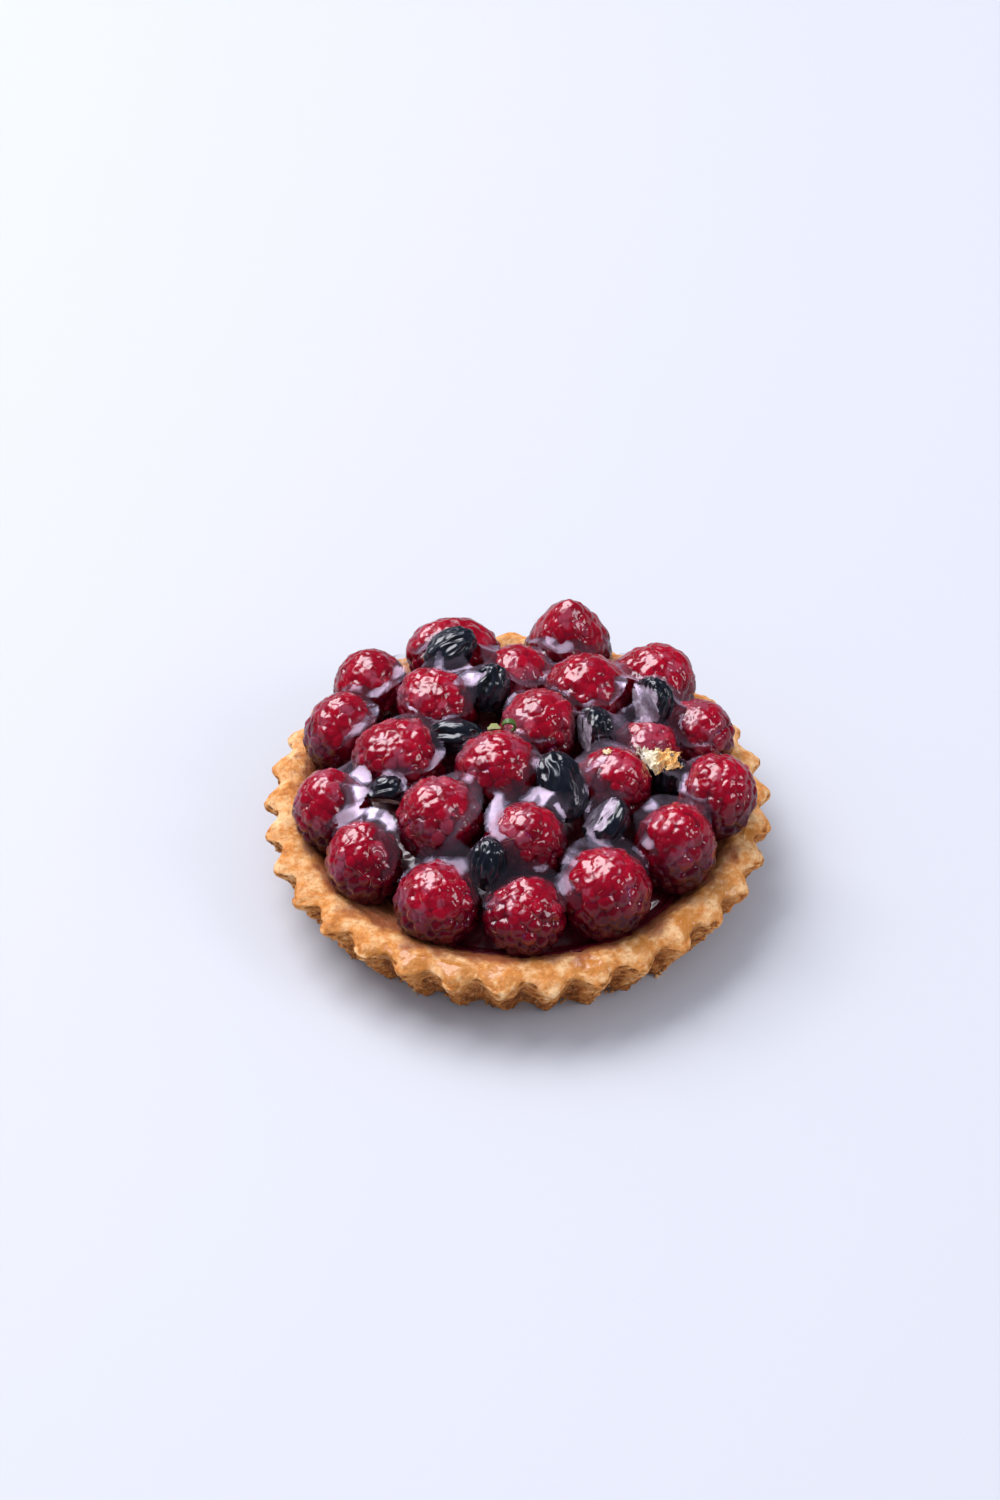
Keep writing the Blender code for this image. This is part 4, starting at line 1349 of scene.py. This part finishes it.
def make_gold_leaf(material):
    """The torn, crumpled flake that lies over the CAD leaf's top face."""
    low, high = (np.array(corner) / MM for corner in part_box("gold_leaf"))
    tree = node_tree("gold_leaf")
    u, v = np.meshgrid(*(np.linspace(0.0, 1.0, count) for count in LEAF_NET), indexing="ij")
    u, v = u.ravel(), v.ravel()
    x = low[0] + (high[0] - low[0]) * u
    y = low[1] + (high[1] - low[1]) * v
    height = np.array([height_under(tree, *spot, np.nan) for spot in zip(x, y)])
    there = ~np.isnan(height)
    flat = np.stack((x, y, np.zeros(len(x))), axis=1)
    crumple = LEAF_CRUMPLE * ridges(rough_lumps(flat, size=1.6, seed=401)) - LEAF_CRUMPLE / 2.0
    points = np.stack((x, y, np.nan_to_num(height) + (crumple - LEAF_SINK)), axis=1)
    edge = np.minimum(np.minimum(u, 1.0 - u), np.minimum(v, 1.0 - v)) * LEAF_EDGE_GAIN
    hole = rough_lumps(flat, size=1.5, seed=411)
    dark_crumples = LEAF_TINT_CRUMPLE * np.abs(rough_lumps(flat, size=1.4, seed=421))
    tint = LEAF_TINT_RIGHT * smooth_step(u, *LEAF_TINT_BAND) + dark_crumples - LEAF_TINT_LESS
    keep = there & (edge + LEAF_RAGGED * hole > LEAF_BORDER) & (hole > LEAF_HOLES)
    used, faces = net_faces(without_islands(whole_cells(keep.reshape(LEAF_NET)), LEAF_LEAST_CELLS))
    marks = {"tint": np.clip(tint, 0.0, 1.0)[used]}
    piece = put_in_scene("gold_leaf_flake", points[used], faces, material, marks)
    give_thickness(piece)
    dress(piece, "gold_leaf", "gold_leaf")


def make_gold_speck(meshes, material):
    """A second tiny flake, stuck on the berry left of the leaf."""
    line = np.linspace(-1.0, 1.0, SPECK_NET)
    u, v = (part.ravel() for part in np.meshgrid(line, line, indexing="ij"))
    x = GOLD_SPECK[0] + SPECK_HALF[0] * u
    y = GOLD_SPECK[1] + SPECK_HALF[1] * v
    places = np.stack((x, y, 0.0 * x), axis=1)
    crumple = SPECK_CRUMPLE * rough_lumps(places, size=0.8, seed=431, layers=2)
    height = heap_heights(meshes, places[:, :2]) + SPECK_LIFT + crumple
    ragged = SPECK_RAGGED * rough_lumps(places, size=0.7, seed=433, layers=2)
    keep = np.hypot(u, v) + ragged < SPECK_ROUND
    whole = whole_cells(keep.reshape(SPECK_NET, SPECK_NET))
    used, faces = net_faces(without_islands(whole, SPECK_LEAST_CELLS))
    points = np.stack((x, y, height), axis=1)[used]
    tint = np.clip(SPECK_TINT[0] + SPECK_TINT[1] * rough_lumps(points, size=0.8, seed=437), 0.0, 1.0)
    piece = put_in_scene("gold_leaf_speck", points, faces, material, {"tint": tint})
    give_thickness(piece)
    dress(piece, "gold_leaf")


def dress_herb(group):
    """The sprig's two solids keep their own form and get their finish."""
    for node, name, greens in (("herb_curl", "herb_green_skin", CURL_GREENS),
                               ("herb_bract", "pale_scale_skin", BRACT_GREENS)):
        finish = make_herb_material(name, group, *greens)
        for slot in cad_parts[node].material_slots:
            slot.material = finish


# Small hairs of the raspberries

HAIRS = 9
HAIR_LENGTH = (1.2, 2.8)
HAIR_WIDTH = 0.07
HAIR_TAPER = 0.6
HAIR_STEPS = 5
HAIR_SIDES = 3

# The bend of a hair: how high it roots and arches, how far it arches, and how much its tip droops
HAIR_ROOT = 0.15
HAIR_ARCH = 0.5
HAIR_ARCH_TURN = 2.4
HAIR_DROOP = 0.25


def add_hair(corners, faces, root, centre, dice):
    """One bent three-sided hair that leaves the berry at its root and tapers to its tip."""
    out = (root - centre) / np.linalg.norm(root - centre)
    side = np.cross(out, dice.normal(size=3))
    side /= np.linalg.norm(side)
    long = dice.uniform(*HAIR_LENGTH)
    across = np.cross(side, out)
    first = len(corners)
    for step in range(HAIR_STEPS + 1):
        share = step / HAIR_STEPS
        arch = (HAIR_ROOT + HAIR_ARCH * math.sin(HAIR_ARCH_TURN * share)) * 0.5
        spot = root + out * arch + side * long * share - out * HAIR_DROOP * share * long * share
        width = HAIR_WIDTH * (1.0 - HAIR_TAPER * share) / 2.0
        for turn in range(HAIR_SIDES):
            angle = turn * 2 * math.pi / HAIR_SIDES
            corners.append(spot + width * (math.cos(angle) * across + math.sin(angle) * out))
    for step in range(HAIR_STEPS):
        base = first + HAIR_SIDES * step
        for turn in range(HAIR_SIDES):
            after = (turn + 1) % HAIR_SIDES
            faces.append((base + turn, base + after, base + HAIR_SIDES + after))
            faces.append((base + turn, base + HAIR_SIDES + after, base + HAIR_SIDES + turn))
    tip = first + HAIR_SIDES * HAIR_STEPS
    faces.append((first, first + 2, first + 1))
    faces.append((tip, tip + 1, tip + 2))


def make_hairs(berries, material):
    corners = []
    faces = []
    for name, (points, _) in zip(RASPBERRIES, berries):
        dice = np.random.default_rng(HAIR_SEED + int(name[-2:]))
        centre = points.mean(axis=0)
        top = np.nonzero(points[:, 2] > centre[2] + 1.0)[0]
        for root in points[dice.choice(top, HAIRS)]:
            add_hair(corners, faces, root, centre, dice)
    piece = put_in_scene("berry_hairs", np.array(corners), np.array(faces), material)
    dress(piece, "raspberry_red")


# Floor, light and camera


def make_floor():
    """A plain pale floor, which glossy skins mirror as if it were darker."""
    material, tree, shader = new_material("pale_floor")
    place = add(tree, "ShaderNodeTexCoord")
    grain = add(tree, "ShaderNodeTexNoise", Scale_in=3.0, Detail_in=3.0)
    link(tree, place.outputs["Object"], grain.inputs["Vector"])
    path = add(tree, "ShaderNodeLightPath")
    colour = between(tree, grain.outputs["Fac"], *FLOOR_COLOURS)
    colour = tinged(tree, colour, path.outputs["Is Glossy Ray"], FLOOR_DIMMING, FLOOR_IN_SHINE)
    link(tree, colour, shader.inputs["Base Color"])
    settle(shader, Roughness=0.6)
    shape = bmesh.new()
    bmesh.ops.create_grid(shape, x_segments=8, y_segments=8, size=FLOOR_HALF_WIDTH)
    mesh = bpy.data.meshes.new("floor")
    shape.to_mesh(mesh)
    shape.free()
    mesh.materials.append(material)
    floor = bpy.data.objects.new("floor", mesh)
    bpy.context.scene.collection.objects.link(floor)


def add_soft_light(name, spot, size, power, colour):
    light = bpy.data.lights.new(name, "AREA")
    light.shape = "RECTANGLE"
    light.size, light.size_y = size
    light.energy = power
    light.color = colour
    lamp = bpy.data.objects.new(name, light)
    lamp.location = spot
    lamp.rotation_euler = Vector(spot).to_track_quat("Z", "Y").to_euler()
    bpy.context.scene.collection.objects.link(lamp)


def window_in_sky(tree):
    """1 where the sky holds the pale surround of the window."""
    place = add(tree, "ShaderNodeTexCoord")
    outward = Vector(WINDOW_SPOT).normalized()
    across = Vector((0.0, 0.0, 1.0)).cross(outward).normalized()
    parts = []
    for axis in (outward, across, outward.cross(across)):
        dot = add(tree, "ShaderNodeVectorMath", operation="DOT_PRODUCT")
        dot.inputs[1].default_value = axis
        link(tree, place.outputs["Generated"], dot.inputs[0])
        parts.append(dot.outputs["Value"])
    mask = maths(tree, "GREATER_THAN", parts[0], WINDOW_SIDE)
    for part, spread in zip(parts[1:], WINDOW_SPREAD):
        side = maths(tree, "ABSOLUTE", maths(tree, "DIVIDE", part, parts[0]))
        mask = maths(tree, "MULTIPLY", mask, maths(tree, "LESS_THAN", side, spread))
    return mask


def light_the_scene():
    world = bpy.data.worlds.new("soft_room")
    bpy.context.scene.world = world
    world.use_nodes = True
    tree = world.node_tree
    sky = tree.nodes["Background"]
    sky.inputs["Color"].default_value = (*SKY_COLOUR, 1.0)
    path = add(tree, "ShaderNodeLightPath")
    mirrored = maths(tree, "MULTIPLY_ADD", window_in_sky(tree), WINDOW_SHINE, SKY_SHINE - SKY_LIGHT)
    strength = maths(tree, "MULTIPLY_ADD", path.outputs["Is Glossy Ray"], mirrored, SKY_LIGHT)
    link(tree, strength, sky.inputs["Strength"])
    add_soft_light("window_light", WINDOW_SPOT, WINDOW_SIZE, WINDOW_POWER, WINDOW_COLOUR)
    add_soft_light("side_fill", FILL_SPOT, FILL_SIZE, FILL_POWER, FILL_COLOUR)


def place_camera():
    data = bpy.data.cameras.new("camera")
    data.lens = CAMERA_LENS
    data.sensor_width = SENSOR_WIDTH
    data.sensor_fit = "AUTO"
    data.clip_start = NEAREST_SEEN
    camera = bpy.data.objects.new("camera", data)
    camera.location = CAMERA_SPOT
    camera.rotation_euler = (math.radians(CAMERA_TILT), 0.0, 0.0)
    bpy.context.scene.collection.objects.link(camera)
    bpy.context.scene.camera = camera
    bpy.context.scene.view_settings.view_transform = "Standard"


def build_scene():
    grain = make_speckle_group()
    baked = make_crust_material(grain)
    make_crust(baked)
    make_crumbs(baked)
    make_jam(make_jam_material(grain))
    directions, faces, edges = ball_net(BALL_LEVEL)
    red = make_raspberry_material(grain)
    raspberries = [make_raspberry(name, directions, faces, edges, red) for name in RASPBERRIES]
    dark = make_dark_skin_material(grain)
    heap = raspberries + [make_dark_berry(name, directions, faces, edges, dark) for name in DARK_BERRIES]
    make_film(heap, make_glaze_material(grain))
    gold = make_gold_material(grain)
    make_gold_leaf(gold)
    make_gold_speck(heap, gold)
    dress_herb(grain)
    make_hairs(raspberries, make_hair_material(grain))
    make_floor()
    light_the_scene()
    place_camera()


build_scene()
